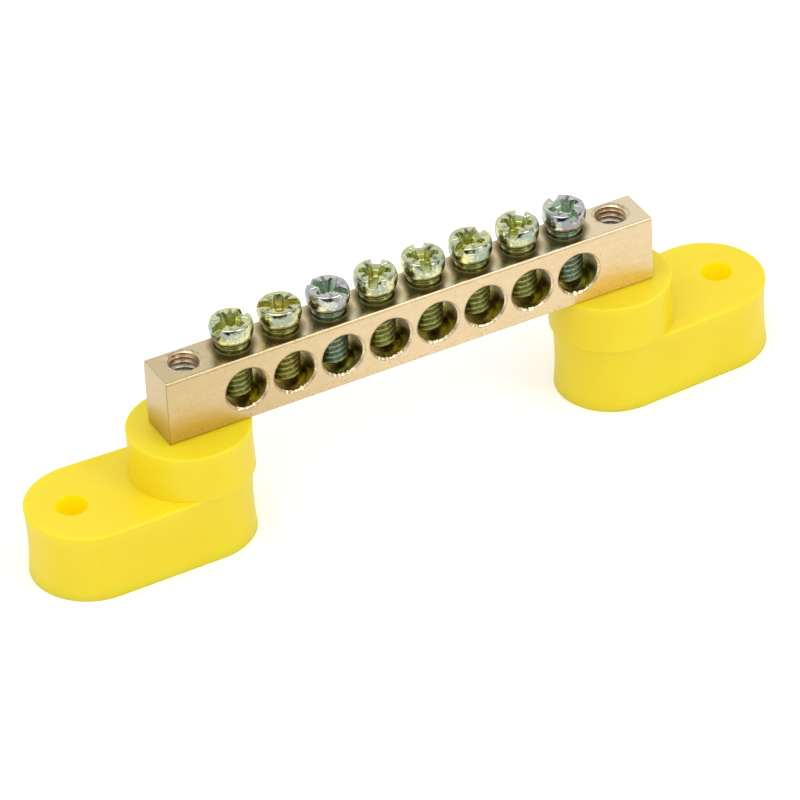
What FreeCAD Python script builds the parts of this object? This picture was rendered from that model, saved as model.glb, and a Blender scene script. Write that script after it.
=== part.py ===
import FreeCAD, Part
import math
import os
import Sketcher

# Earth terminal bar: a drilled and tapped brass bar with a row of clamp screws,
# carried at each end by an angular plastic insulator with a foot for the panel.
#
# Frame: X runs along the bar, Y from front to back, Z up from the mounting surface.
# The origin is on the mounting surface, in the middle of the left foot's hole.

# Driving dimensions in millimetres, angles in degrees
DIMENSIONS = [
    # Brass bar, a drawn 8 x 12 section
    ("bar_length", 89.0, "bar, end to end"),
    ("bar_depth", 8.0, "bar, front to back"),
    ("bar_height", 12.0, "bar, underside to top"),
    ("bar_edge_break", 0.3, "broken corner along the bar's four long edges"),
    ("clamp_count", 8, "number of wire bores, each with its clamp screw"),
    ("end_margin", 5.5, "the bar's left end to its first tapped hole"),
    ("far_end_margin", 5.2, "the bar's right end to its last tapped hole"),
    ("screw_line_setback", 0.55, "tapped holes behind the middle of the bar's depth"),
    ("wire_bore", 7.3, "diameter of a wire bore"),
    ("wire_bore_height", 5.9, "wire bore axis above the bar's underside"),
    ("wire_bore_chamfer", 0.3, "chamfer at both mouths of a wire bore"),
    ("thread_size", 6.0, "M6 thread, its largest diameter in the bar"),
    ("thread_play", 0.06, "radial play of a screw in its thread"),
    ("thread_mouth_chamfer", 0.2, "chamfer at the mouth of a tapped hole"),
    # Clamp screw, turned with a barrel head
    ("clamp_tip_gap", 0.85, "clamp screw tip above the floor of its wire bore, tightened"),
    ("clamp_tip_chamfer", 0.7, "chamfer at the clamp screw's tip"),
    ("clamp_thread_length", 8.95, "threaded length of a clamp screw"),
    ("clamp_neck_diameter", 5.5, "plain neck between thread and head"),
    ("clamp_neck_height", 0.65, "height of the neck"),
    ("clamp_head_diameter", 7.3, "widest diameter of the head"),
    ("clamp_head_height", 4.2, "height of the head above the neck"),
    ("clamp_head_cone", 1.2, "height of the tapered underside of the head"),
    ("clamp_head_chamfer", 0.3, "chamfer round the top of the head"),
    ("clamp_slot_width", 1.6, "driver slot across the head"),
    ("clamp_slot_depth", 1.2, "depth of the driver slot"),
    ("cross_span", 5.4, "cross recess, from end to end of its arms"),
    ("cross_arm_width", 1.45, "width of an arm at the top of the head"),
    ("cross_depth", 2.3, "depth of the cross recess"),
    ("cross_floor_share", 0.55, "size of the recess at its floor against its mouth"),
    # Insulator, moulded in one piece
    ("foot_reach", 21.4, "boss axis to foot hole"),
    ("foot_end_reach", 18.7, "boss axis to the centre of the foot's rounded end"),
    ("foot_end_radius", 10.4, "radius of the foot's rounded end"),
    ("base_inner_radius", 9.95, "radius of the base's end under the boss"),
    ("base_height", 12.6, "height of the base, foot and all"),
    ("base_wall_sink", 0.3, "how far the side walls hollow in at half height"),
    ("base_rim_break", 0.3, "broken corner along the upper rim of the base"),
    ("boss_top_radius", 10.25, "radius of the boss at its top"),
    ("boss_root_radius", 10.4, "radius of the boss where it meets the base"),
    ("boss_height", 8.3, "height of the boss above the base"),
    ("boss_rim_break", 0.25, "broken corner along the upper rim of the boss"),
    ("foot_bore", 5.3, "diameter of the foot hole, for an M5 screw"),
    ("left_swivel", 0.7, "left foot turned towards the back"),
    ("right_swivel", 4.9, "right foot turned towards the back"),
    ("left_lean", 241.0, "way that the left insulator was pushed within its play, from the bar's length"),
    ("right_lean", 168.0, "way that the right insulator was pushed within its play"),
    # Screw that holds the bar on an insulator, put in from below
    ("fixing_length", 16.0, "M6 fixing screw under its head"),
    ("fixing_head_diameter", 10.0, "cheese head of the fixing screw"),
    ("fixing_head_height", 3.9, "height of that head"),
    ("fixing_slot_width", 1.6, "driver slot of the fixing screw"),
    ("fixing_slot_depth", 1.8, "depth of that slot"),
    ("fixing_tip_chamfer", 0.6, "chamfer at the fixing screw's tip"),
    ("fixing_passage_play", 0.5, "radial play of the fixing screw in the insulator"),
    ("fixing_seat_play", 0.2, "what the counterbore leaves free round the screw's head besides"),
    ("fixing_web", 9.5, "plastic between the screw's seat and the bar"),
]

# Turn of each clamp screw's driver slot, as the screws were left, in degrees from the bar's length
CLAMP_SLOT_TURNS = [20.5, 156.8, 123.7, 58.0, 72.7, 31.2, 50.6, 90.6]

# Sizes and places worked out from the driving ones, as expressions on the sheet
END_HOLE_SPACING = "(sizes.bar_length - sizes.end_margin - sizes.far_end_margin)"
HOLE_PITCH = "(" + END_HOLE_SPACING + " / (sizes.clamp_count + 1))"
BAR_SEAT = "(sizes.base_height + sizes.boss_height)"
WIRE_BORE_FLOOR = "(sizes.wire_bore_height - sizes.wire_bore / 2)"
SHANK_RADIUS = "(sizes.thread_size / 2 - sizes.thread_play)"
CLAMP_HEAD_BASE = "(sizes.clamp_thread_length + sizes.clamp_neck_height)"
CLAMP_TOP = "(" + CLAMP_HEAD_BASE + " + sizes.clamp_head_height)"
FIXING_SEAT = "(" + BAR_SEAT + " - sizes.fixing_web)"

# Where the boss of each insulator stands, and the tapped holes of the bar, each as x and y
LEFT_BOSS = (
    "sizes.foot_reach * cos(sizes.left_swivel * 1 deg)",
    "-sizes.foot_reach * sin(sizes.left_swivel * 1 deg)",
)
LEFT_THREAD = (
    "(" + LEFT_BOSS[0] + " - sizes.fixing_passage_play * cos(sizes.left_lean * 1 deg))",
    "(" + LEFT_BOSS[1] + " - sizes.fixing_passage_play * sin(sizes.left_lean * 1 deg))",
)
RIGHT_THREAD = (LEFT_THREAD[0] + " + " + END_HOLE_SPACING, LEFT_THREAD[1])
RIGHT_BOSS = (
    RIGHT_THREAD[0] + " + sizes.fixing_passage_play * cos(sizes.right_lean * 1 deg)",
    RIGHT_THREAD[1] + " + sizes.fixing_passage_play * sin(sizes.right_lean * 1 deg)",
)

# How far a cutting profile runs past the face that it opens
OVERRUN = 1.0

document = FreeCAD.newDocument("earth_terminal_bar")
sheet = document.addObject("Spreadsheet::Sheet", "sizes")
for row, (alias, number, meaning) in enumerate(DIMENSIONS, start=1):
    sheet.set("A" + str(row), alias)
    sheet.set("B" + str(row), str(number))
    sheet.set("C" + str(row), meaning)
    sheet.setAlias("B" + str(row), alias)
document.recompute()


def value(expression):
    """The present value of an expression on the sheet, to start a sketch near its solution."""
    return float(sheet.evalExpression(expression))


def new_body(label):
    """An empty body with its own label."""
    body = document.addObject("PartDesign::Body", label)
    body.Label = label
    return body


def new_sketch(body, name, plane, offset=None):
    """A sketch on one of the body's own origin planes, moved by expressions for x, y and z in that plane."""
    sketch = body.newObject("Sketcher::SketchObject", name)
    planes = [feature for feature in body.Origin.OriginFeatures if feature.Role == plane]
    sketch.AttachmentSupport = [(planes[0], "")]
    sketch.MapMode = "FlatFace"
    for axis, expression in (offset or {}).items():
        sketch.setExpression("AttachmentOffset.Base." + axis, expression)
    return sketch


def bind(sketch, kind, arguments, expression):
    """A constraint whose size follows an expression."""
    index = sketch.addConstraint(Sketcher.Constraint(kind, *arguments, value(expression)))
    sketch.setExpression("Constraints[" + str(index) + "]", expression)


def pin_point(sketch, geometry, end, x, y):
    """Fix one end of a line or an arc at the coordinates that two expressions give."""
    for kind, expression, axis in (("DistanceX", x, -2), ("DistanceY", y, -1)):
        if expression == "0":
            sketch.addConstraint(Sketcher.Constraint("PointOnObject", geometry, end, axis))
        else:
            bind(sketch, kind, (-1, 1, geometry, end), expression)


def draw_outline(sketch, corners):
    """A closed outline of straight lines through corners given as pairs of expressions."""
    points = [FreeCAD.Vector(value(x), value(y), 0) for x, y in corners]
    first = sketch.GeometryCount
    count = len(corners)
    for index in range(count):
        sketch.addGeometry(Part.LineSegment(points[index], points[(index + 1) % count]), False)
    for index in range(count):
        following = first + (index + 1) % count
        sketch.addConstraint(Sketcher.Constraint("Coincident", first + index, 2, following, 1))
    for index, (x, y) in enumerate(corners):
        pin_point(sketch, first + index, 1, x, y)


def draw_rectangle(sketch, half_width, half_height):
    """A rectangle about the sketch's origin."""
    draw_outline(sketch, [
        ("-(" + half_width + ")", "-(" + half_height + ")"),
        (half_width, "-(" + half_height + ")"),
        (half_width, half_height),
        ("-(" + half_width + ")", half_height),
    ])


def draw_cross(sketch, half_span, half_width):
    """The outline of a cross with four equal arms about the sketch's origin."""
    corner = [(half_span, "-(" + half_width + ")"), (half_span, half_width)]
    corners = []
    for quarter in range(4):
        for x, y in corner + [(half_width, half_width)]:
            for _turn in range(quarter):
                x, y = "-(" + y + ")", x
            corners.append((x, y))
    draw_outline(sketch, corners)


def draw_circle(sketch, radius):
    """A circle about the sketch's origin."""
    circle = Part.Circle(FreeCAD.Vector(0, 0, 0), FreeCAD.Vector(0, 0, 1), value(radius))
    index = sketch.addGeometry(circle, False)
    sketch.addConstraint(Sketcher.Constraint("Coincident", index, 3, -1, 1))
    bind(sketch, "Radius", (index,), radius)


def draw_base_outline(sketch):
    """The base in plan: a round end under the boss, a larger one at the foot, and tangent sides."""
    reach = value("sizes.foot_end_reach")
    far = value("sizes.foot_end_radius")
    near = value("sizes.base_inner_radius")
    up = FreeCAD.Vector(0, 0, 1)
    far_circle = Part.Circle(FreeCAD.Vector(reach, 0, 0), up, far)
    near_circle = Part.Circle(FreeCAD.Vector(0, 0, 0), up, near)
    foot = sketch.addGeometry(Part.ArcOfCircle(far_circle, -math.pi / 2, math.pi / 2), False)
    back = sketch.addGeometry(Part.LineSegment(
        FreeCAD.Vector(reach, far, 0), FreeCAD.Vector(0, near, 0)), False)
    inner = sketch.addGeometry(Part.ArcOfCircle(near_circle, math.pi / 2, 3 * math.pi / 2), False)
    front = sketch.addGeometry(Part.LineSegment(
        FreeCAD.Vector(0, -near, 0), FreeCAD.Vector(reach, -far, 0)), False)
    for one, other in ((foot, back), (back, inner), (inner, front), (front, foot)):
        sketch.addConstraint(Sketcher.Constraint("Tangent", one, 2, other, 1))
    sketch.addConstraint(Sketcher.Constraint("Coincident", inner, 3, -1, 1))
    sketch.addConstraint(Sketcher.Constraint("PointOnObject", foot, 3, -1))
    bind(sketch, "DistanceX", (-1, 1, foot, 3), "sizes.foot_end_reach")
    bind(sketch, "Radius", (foot,), "sizes.foot_end_radius")
    bind(sketch, "Radius", (inner,), "sizes.base_inner_radius")


def draw_waist_profile(sketch):
    """What comes off a side wall: the shallow arc of its shrinkage and the broken corner above it."""
    wall = -value("sizes.base_inner_radius")
    outside = wall - OVERRUN
    height = value("sizes.base_height")
    rim = value("sizes.base_rim_break")
    lowest = FreeCAD.Vector(wall, 0, 0)
    deepest = FreeCAD.Vector(wall + value("sizes.base_wall_sink"), (height - rim) / 2, 0)
    highest = FreeCAD.Vector(wall, height - rim, 0)
    corner = FreeCAD.Vector(wall + rim, height, 0)
    outer_high = FreeCAD.Vector(outside, height, 0)
    outer_low = FreeCAD.Vector(outside, 0, 0)
    arc = sketch.addGeometry(Part.Arc(lowest, deepest, highest), False)
    slope = sketch.addGeometry(Part.LineSegment(highest, corner), False)
    top = sketch.addGeometry(Part.LineSegment(corner, outer_high), False)
    side = sketch.addGeometry(Part.LineSegment(outer_high, outer_low), False)
    bottom = sketch.addGeometry(Part.LineSegment(outer_low, lowest), False)
    lower, upper = 1, 2
    if sketch.Geometry[arc].StartPoint.y > sketch.Geometry[arc].EndPoint.y:
        lower, upper = 2, 1
    sketch.addConstraint(Sketcher.Constraint("Coincident", arc, upper, slope, 1))
    sketch.addConstraint(Sketcher.Constraint("Coincident", slope, 2, top, 1))
    sketch.addConstraint(Sketcher.Constraint("Coincident", top, 2, side, 1))
    sketch.addConstraint(Sketcher.Constraint("Coincident", side, 2, bottom, 1))
    sketch.addConstraint(Sketcher.Constraint("Coincident", bottom, 2, arc, lower))
    sketch.addConstraint(Sketcher.Constraint("Horizontal", top))
    sketch.addConstraint(Sketcher.Constraint("Vertical", side))
    wall_height = "(sizes.base_height - sizes.base_rim_break)"
    pin_point(sketch, arc, lower, "-sizes.base_inner_radius", "0")
    pin_point(sketch, arc, upper, "-sizes.base_inner_radius", wall_height)
    pin_point(sketch, slope, 2, "-sizes.base_inner_radius + sizes.base_rim_break", "sizes.base_height")
    pin_point(sketch, side, 2, "-sizes.base_inner_radius - " + str(OVERRUN), "0")
    sink = "sizes.base_wall_sink"
    bind(sketch, "Radius", (arc,), "(" + wall_height + " ^ 2 / 4 + " + sink + " ^ 2) / (2 * " + sink + ")")


def revolve(body, kind, name, sketch):
    """A full turn of a sketch about its own upright axis, added or cut away."""
    feature = body.newObject("PartDesign::" + kind, name)
    feature.Profile = sketch
    feature.ReferenceAxis = (sketch, ["V_Axis"])
    feature.Angle = 360
    sketch.Visibility = False
    return feature


def must_cut(body, feature, before):
    """Stop if a cutting feature took nothing away."""
    document.recompute()
    if body.Shape.Volume > before - 1e-3:
        raise RuntimeError(feature.Label + " removes no material")


def pocket(body, name, sketch, depth=None, up=False):
    """Cut a sketch downwards by a depth, or right through; up cuts from the sketch upwards."""
    before = body.Shape.Volume
    feature = body.newObject("PartDesign::Pocket", name)
    feature.Profile = sketch
    feature.Reversed = up
    if depth is None:
        feature.Type = "ThroughAll"
    else:
        feature.setExpression("Length", depth)
    must_cut(body, feature, before)
    return feature


def repeat_along(body, name, feature, sketch, spacing, count):
    """Copies of a feature along the bar, the last one at the given distance from the first."""
    before = body.Shape.Volume
    pattern = body.newObject("PartDesign::LinearPattern", name)
    pattern.Originals = [feature]
    pattern.Direction = (sketch, ["H_Axis"])
    pattern.setExpression("Length", spacing)
    pattern.setExpression("Occurrences", count)
    body.Tip = pattern
    must_cut(body, pattern, before)


def edges_where(shape, test):
    """The names of a shape's edges that pass a test."""
    return ["Edge" + str(number) for number, edge in enumerate(shape.Edges, start=1) if test(edge)]


def break_edges(body, name, size, test):
    """A chamfer on those edges of the body that pass a test."""
    document.recompute()
    base = body.Tip
    feature = body.newObject("PartDesign::Chamfer", name)
    feature.Base = (base, edges_where(base.Shape, test))
    feature.setExpression("Size", size)
    document.recompute()
    return feature


def place(body, x="0", y="0", z="0", turn="0"):
    """Put a body in the part's frame and turn it about the vertical."""
    body.setExpression("Placement.Base.x", x)
    body.setExpression("Placement.Base.y", y)
    body.setExpression("Placement.Base.z", z)
    body.Placement.Rotation = FreeCAD.Rotation(FreeCAD.Vector(0, 0, 1), value(turn))
    body.setExpression("Placement.Rotation.Angle", turn)


def bar_holes(body, name, profile, plane, offset, spacing, count):
    """A turned cut in the bar and its copies along it."""
    sketch = new_sketch(body, name + "_profile", plane, offset)
    draw_outline(sketch, profile)
    before = body.Shape.Volume
    cut = revolve(body, "Groove", name, sketch)
    must_cut(body, cut, before)
    repeat_along(body, name + "_row", cut, sketch, spacing, count)


def make_busbar():
    """The brass bar: drawn section, eight wire bores, eight clamp threads and a tapped hole at each end."""
    body = new_body("busbar")
    half_depth = "sizes.bar_depth / 2"
    section = new_sketch(body, "bar_section", "YZ_Plane")
    draw_outline(section, [
        ("-" + half_depth, "0"),
        (half_depth, "0"),
        (half_depth, "sizes.bar_height"),
        ("-" + half_depth, "sizes.bar_height"),
    ])
    pad = body.newObject("PartDesign::Pad", "bar_stock")
    pad.Profile = section
    pad.setExpression("Length", "sizes.bar_length")

    def runs_along(edge):
        return abs(edge.tangentAt(edge.FirstParameter).x) > 0.99

    break_edges(body, "long_edges", "sizes.bar_edge_break", runs_along)

    first_wire = "sizes.end_margin + " + HOLE_PITCH
    radius = "sizes.wire_bore / 2"
    flare = radius + " + sizes.wire_bore_chamfer"
    wire_profile = [
        ("0", "-" + half_depth),
        (flare, "-" + half_depth),
        (radius, "-" + half_depth + " + sizes.wire_bore_chamfer"),
        (radius, half_depth + " - sizes.wire_bore_chamfer"),
        (flare, half_depth),
        ("0", half_depth),
    ]
    row = "(sizes.clamp_count - 1) * " + HOLE_PITCH
    bar_holes(body, "wire_bore_cut", wire_profile, "XY_Plane",
              {"x": first_wire, "z": "sizes.wire_bore_height"}, row, "sizes.clamp_count")

    thread = "sizes.thread_size / 2"
    mouth = thread + " + sizes.thread_mouth_chamfer"
    below_mouth = "sizes.bar_height - sizes.thread_mouth_chamfer"
    clamp_profile = [
        ("0", "sizes.wire_bore_height"),
        (thread, "sizes.wire_bore_height"),
        (thread, below_mouth),
        (mouth, "sizes.bar_height"),
        ("0", "sizes.bar_height"),
    ]
    setback = "-sizes.screw_line_setback"
    bar_holes(body, "clamp_thread_cut", clamp_profile, "XZ_Plane",
              {"x": first_wire, "z": setback}, row, "sizes.clamp_count")

    end_profile = [
        ("0", "0"),
        (mouth, "0"),
        (thread, "sizes.thread_mouth_chamfer"),
        (thread, below_mouth),
        (mouth, "sizes.bar_height"),
        ("0", "sizes.bar_height"),
    ]
    bar_holes(body, "end_thread_cut", end_profile, "XZ_Plane",
              {"x": "sizes.end_margin", "z": setback}, END_HOLE_SPACING, "2")
    bar_end = LEFT_THREAD[0] + " - sizes.end_margin"
    mid_depth = LEFT_THREAD[1] + " - sizes.screw_line_setback"
    place(body, bar_end, mid_depth, BAR_SEAT)
    return body


def make_clamp_screw(number, slot_turn):
    """One clamp screw: threaded shank, neck, barrel head, and a slot crossed with a recess."""
    body = new_body("clamp_screw_" + str(number))
    neck = "sizes.clamp_neck_diameter / 2"
    head = "sizes.clamp_head_diameter / 2"
    profile = new_sketch(body, "screw_profile", "XZ_Plane")
    draw_outline(profile, [
        ("0", "0"),
        (SHANK_RADIUS + " - sizes.clamp_tip_chamfer", "0"),
        (SHANK_RADIUS, "sizes.clamp_tip_chamfer"),
        (SHANK_RADIUS, "sizes.clamp_thread_length"),
        (neck, "sizes.clamp_thread_length"),
        (neck, CLAMP_HEAD_BASE),
        (head, CLAMP_HEAD_BASE + " + sizes.clamp_head_cone"),
        (head, CLAMP_TOP + " - sizes.clamp_head_chamfer"),
        (head + " - sizes.clamp_head_chamfer", CLAMP_TOP),
        ("0", CLAMP_TOP),
    ])
    revolve(body, "Revolution", "turned_blank", profile)
    document.recompute()

    slot = new_sketch(body, "slot_outline", "XY_Plane", {"z": CLAMP_TOP})
    draw_rectangle(slot, "sizes.clamp_head_diameter / 2 + " + str(OVERRUN), "sizes.clamp_slot_width / 2")
    pocket(body, "driver_slot", slot, "sizes.clamp_slot_depth")

    before = body.Shape.Volume
    mouth = new_sketch(body, "recess_mouth", "XY_Plane", {"z": CLAMP_TOP})
    draw_cross(mouth, "sizes.cross_span / 2", "sizes.cross_arm_width / 2")
    floor = new_sketch(body, "recess_floor", "XY_Plane", {"z": CLAMP_TOP + " - sizes.cross_depth"})
    share = " * sizes.cross_floor_share"
    draw_cross(floor, "sizes.cross_span / 2" + share, "sizes.cross_arm_width / 2" + share)
    recess = body.newObject("PartDesign::SubtractiveLoft", "cross_recess")
    recess.Profile = mouth
    recess.Sections = [floor]
    recess.Ruled = True
    must_cut(body, recess, before)

    along = LEFT_THREAD[0] + " + " + str(number) + " * " + HOLE_PITCH
    tip = BAR_SEAT + " + " + WIRE_BORE_FLOOR + " + sizes.clamp_tip_gap"
    place(body, along, LEFT_THREAD[1], tip, str(slot_turn))
    return body


def make_insulator(label, boss, turn):
    """One insulator: a hollow-sided base with the foot hole, a boss, and a passage for the fixing screw."""
    body = new_body(label)
    outline = new_sketch(body, "base_outline", "XY_Plane")
    draw_base_outline(outline)
    base = body.newObject("PartDesign::Pad", "base")
    base.Profile = outline
    base.setExpression("Length", "sizes.base_height")
    document.recompute()

    before = body.Shape.Volume
    waist_profile = new_sketch(body, "waist_profile", "YZ_Plane")
    draw_waist_profile(waist_profile)
    document.recompute()
    waist = body.newObject("PartDesign::SubtractivePipe", "waist")
    waist.Profile = waist_profile
    waist.Spine = (outline, [])
    must_cut(body, waist, before)
    waist_profile.Visibility = False

    boss_profile = new_sketch(body, "boss_profile", "XZ_Plane")
    root = "sizes.base_height - sizes.base_rim_break"
    draw_outline(boss_profile, [
        ("0", root),
        ("sizes.boss_root_radius", root),
        ("sizes.boss_root_radius", "sizes.base_height"),
        ("sizes.boss_top_radius", BAR_SEAT),
        ("0", BAR_SEAT),
    ])
    revolve(body, "Revolution", "boss", boss_profile)

    def on_boss_rim(edge):
        return edge.BoundBox.ZMin > value(BAR_SEAT) - 1e-3

    break_edges(body, "boss_rim", "sizes.boss_rim_break", on_boss_rim)

    before = body.Shape.Volume
    passage_profile = new_sketch(body, "passage_profile", "XZ_Plane")
    passage_radius = "sizes.thread_size / 2 + sizes.fixing_passage_play"
    seat_radius = "sizes.fixing_head_diameter / 2 + sizes.fixing_passage_play + sizes.fixing_seat_play"
    draw_outline(passage_profile, [
        ("0", "0"),
        (seat_radius, "0"),
        (seat_radius, FIXING_SEAT),
        (passage_radius, FIXING_SEAT),
        (passage_radius, BAR_SEAT),
        ("0", BAR_SEAT),
    ])
    passage = revolve(body, "Groove", "fixing_passage", passage_profile)
    must_cut(body, passage, before)

    foot_hole = new_sketch(body, "foot_hole_outline", "XY_Plane", {"x": "sizes.foot_reach"})
    draw_circle(foot_hole, "sizes.foot_bore / 2")
    pocket(body, "foot_hole", foot_hole, up=True)
    place(body, boss[0], boss[1], "0", turn)
    return body


def make_fixing_screw(label, thread):
    """One M6 cheese-head screw that draws the bar down on its insulator, its head up in the counterbore."""
    body = new_body(label)
    head = "sizes.fixing_head_diameter / 2"
    top = "sizes.fixing_head_height + sizes.fixing_length"
    profile = new_sketch(body, "screw_profile", "XZ_Plane")
    draw_outline(profile, [
        ("0", "0"),
        (head, "0"),
        (head, "sizes.fixing_head_height"),
        (SHANK_RADIUS, "sizes.fixing_head_height"),
        (SHANK_RADIUS, top + " - sizes.fixing_tip_chamfer"),
        (SHANK_RADIUS + " - sizes.fixing_tip_chamfer", top),
        ("0", top),
    ])
    revolve(body, "Revolution", "turned_blank", profile)
    document.recompute()
    slot = new_sketch(body, "slot_outline", "XY_Plane")
    draw_rectangle(slot, head + " + " + str(OVERRUN), "sizes.fixing_slot_width / 2")
    pocket(body, "driver_slot", slot, "sizes.fixing_slot_depth", up=True)
    place(body, thread[0], thread[1], FIXING_SEAT + " - sizes.fixing_head_height")
    return body


def check_document():
    """Stop if any object of the document failed to rebuild."""
    for item in document.Objects:
        if "Invalid" in item.State or "Error" in item.State:
            raise RuntimeError(item.Label + " is " + ", ".join(item.State))


def export(bodies):
    """Write each piece to its own file once every piece is sound."""
    check_document()
    for body in bodies:
        if body.Shape.isNull() or not body.Shape.isValid():
            raise RuntimeError(body.Label + " has no valid shape")
        if len(body.Shape.Solids) != 1:
            raise RuntimeError(body.Label + " isn't one solid")
    os.makedirs("parts", exist_ok=True)
    for body in bodies:
        body.Shape.exportStep("parts/" + body.Label + ".step")
        print(body.Label, round(body.Shape.Volume, 1), "mm3")


pieces = [
    make_busbar(),
    make_insulator("left_insulator", LEFT_BOSS, "180 - sizes.left_swivel"),
    make_insulator("right_insulator", RIGHT_BOSS, "sizes.right_swivel"),
    make_fixing_screw("left_fixing_screw", LEFT_THREAD),
    make_fixing_screw("right_fixing_screw", RIGHT_THREAD),
]
for number, slot_turn in enumerate(CLAMP_SLOT_TURNS, start=1):
    pieces.append(make_clamp_screw(number, slot_turn))
document.recompute()
export(pieces)
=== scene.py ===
import logging
import math
from dataclasses import dataclass
from enum import Enum
from typing import Callable, Optional, Sequence, Union

import bpy
import numpy as np
from mathutils import Matrix, Vector


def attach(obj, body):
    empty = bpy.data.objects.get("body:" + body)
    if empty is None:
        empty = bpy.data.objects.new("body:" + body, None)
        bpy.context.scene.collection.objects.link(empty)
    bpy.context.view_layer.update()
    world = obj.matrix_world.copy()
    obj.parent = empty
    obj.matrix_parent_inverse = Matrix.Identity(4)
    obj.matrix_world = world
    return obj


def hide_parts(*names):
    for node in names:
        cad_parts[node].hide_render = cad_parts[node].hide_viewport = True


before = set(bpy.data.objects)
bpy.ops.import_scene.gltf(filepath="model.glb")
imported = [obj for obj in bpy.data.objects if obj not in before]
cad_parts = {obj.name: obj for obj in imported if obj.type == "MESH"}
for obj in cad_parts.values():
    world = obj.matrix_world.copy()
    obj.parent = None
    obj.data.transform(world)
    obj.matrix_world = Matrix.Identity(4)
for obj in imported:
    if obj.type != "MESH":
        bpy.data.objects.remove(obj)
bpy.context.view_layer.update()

LOG = logging.getLogger("terminal_bar")

# One millimetre in the scene's metres. Meshes are worked out in millimetres, in the frame of the solids.
MM = 0.001

# The bar and the row of holes in it, in millimetres
BAR_LEFT = 16.1408
BAR_SEAT = 20.9
BAR_TOP = 32.9
BORE_HEIGHT = 26.8
BORE_COUNT = 8
HOLE_PITCH = 8.7
THREAD_X = 21.6408
THREAD_Y = 0.1759

# The M6 thread, on a screw and in the bar
THREAD_PITCH = 1.0
SCREW_CREST, SCREW_ROOT = 2.93, 2.40
TAPPED_CREST, TAPPED_ROOT = 3.0, 2.47

# Steps round a turned shape
COARSE, MEDIUM, FINE = 72, 96, 144


def display(red: float, green: float, blue: float) -> tuple[float, ...]:
    """Turn a colour as a screen shows it, 0 to 255, into the linear colour that a shader takes.

    Args:
        red: Red on the screen.
        green: Green on the screen.
        blue: Blue on the screen.

    Returns:
        The linear colour with full alpha.
    """
    linear = []
    for part in (red / 255, green / 255, blue / 255):
        linear.append(part / 12.92 if part <= 0.04045 else ((part + 0.055) / 1.055) ** 2.4)
    return (*linear, 1.0)


def soft_min(one: np.ndarray, other: np.ndarray, blend: float) -> np.ndarray:
    """Join two distance fields with a rounded inner edge.

    Args:
        one: First field.
        other: Second field.
        blend: How wide the rounding is, in millimetres.

    Returns:
        The joined field.
    """
    near = np.maximum(blend - np.abs(one - other), 0.0) / blend
    return np.minimum(one, other) - near * near * blend / 4


def soft_max(one: np.ndarray, other: np.ndarray, blend: float) -> np.ndarray:
    """Keep what two distance fields share, with a rounded edge."""
    return -soft_min(-one, -other, blend)


def quarter(steps: int) -> list[tuple[float, float]]:
    """Steps along a quarter circle that starts upright: how far each has turned in and how far it has risen."""
    angles = [math.pi / 2 * step / steps for step in range(1, steps + 1)]
    return [(1 - math.cos(angle), math.sin(angle)) for angle in angles]


@dataclass
class Shell:
    """A mesh in the making: points in millimetres and faces as rows of point numbers.

    Attributes:
        points: Points, one row each.
        faces: Faces, each a sequence of point numbers.
        normals: Outward direction at each point, where it is known exactly.
    """

    points: np.ndarray
    faces: list[tuple[int, ...]]
    normals: Optional[np.ndarray] = None

    def __add__(self, other: "Shell") -> "Shell":
        """Put two shells side by side in one mesh.

        Args:
            other: The second shell.

        Returns:
            Both, with exact directions if both have them.
        """
        shift = len(self.points)
        moved = [tuple(number + shift for number in face) for face in other.faces]
        normals = None
        if self.normals is not None and other.normals is not None:
            normals = np.vstack([self.normals, other.normals])
        return Shell(np.vstack([self.points, other.points]), self.faces + moved, normals)

    def moved(self, x: float, y: float, z: float, turn: float = 0.0) -> "Shell":
        """A copy turned about the vertical and then moved.

        Args:
            x: Move along the bar.
            y: Move towards the back.
            z: Move upwards.
            turn: Turn in degrees, counter-clockwise from above.

        Returns:
            The placed copy.
        """
        cos, sin = math.cos(math.radians(turn)), math.sin(math.radians(turn))
        spin = np.array([[cos, -sin, 0.0], [sin, cos, 0.0], [0.0, 0.0, 1.0]])
        normals = None if self.normals is None else self.normals @ spin.T
        return Shell(self.points @ spin.T + np.array([x, y, z]), self.faces, normals)

    def to_object(self, name: str) -> bpy.types.Object:
        """Make a Blender object of the shell, in metres.

        Args:
            name: Name of the object.

        Returns:
            The object, linked to the scene.
        """
        mesh = bpy.data.meshes.new(name)
        mesh.from_pydata((self.points * MM).tolist(), [], self.faces)
        mesh.validate()
        mesh.update()
        if self.normals is not None and len(mesh.vertices) == len(self.normals):
            mesh.polygons.foreach_set("use_smooth", [True] * len(mesh.polygons))
            mesh.normals_split_custom_set_from_vertices(self.normals.tolist())
        made = bpy.data.objects.new(name, mesh)
        bpy.context.scene.collection.objects.link(made)
        return made


def skin(rows: Sequence[np.ndarray]) -> Shell:
    """Join rings of points, all of one length, and close the first and the last.

    Args:
        rows: The rings, counter-clockwise as seen from the last one's side.

    Returns:
        A closed shell.
    """
    size, last = len(rows[0]), len(rows) - 1
    faces: list[tuple[int, ...]] = [tuple(reversed(range(size))), tuple(range(last * size, (last + 1) * size))]
    for low in range(0, last * size, size):
        for number in range(size):
            after = (number + 1) % size
            faces.append((low + number, low + after, low + size + after, low + size + number))
    return Shell(np.vstack(rows), faces)


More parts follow.
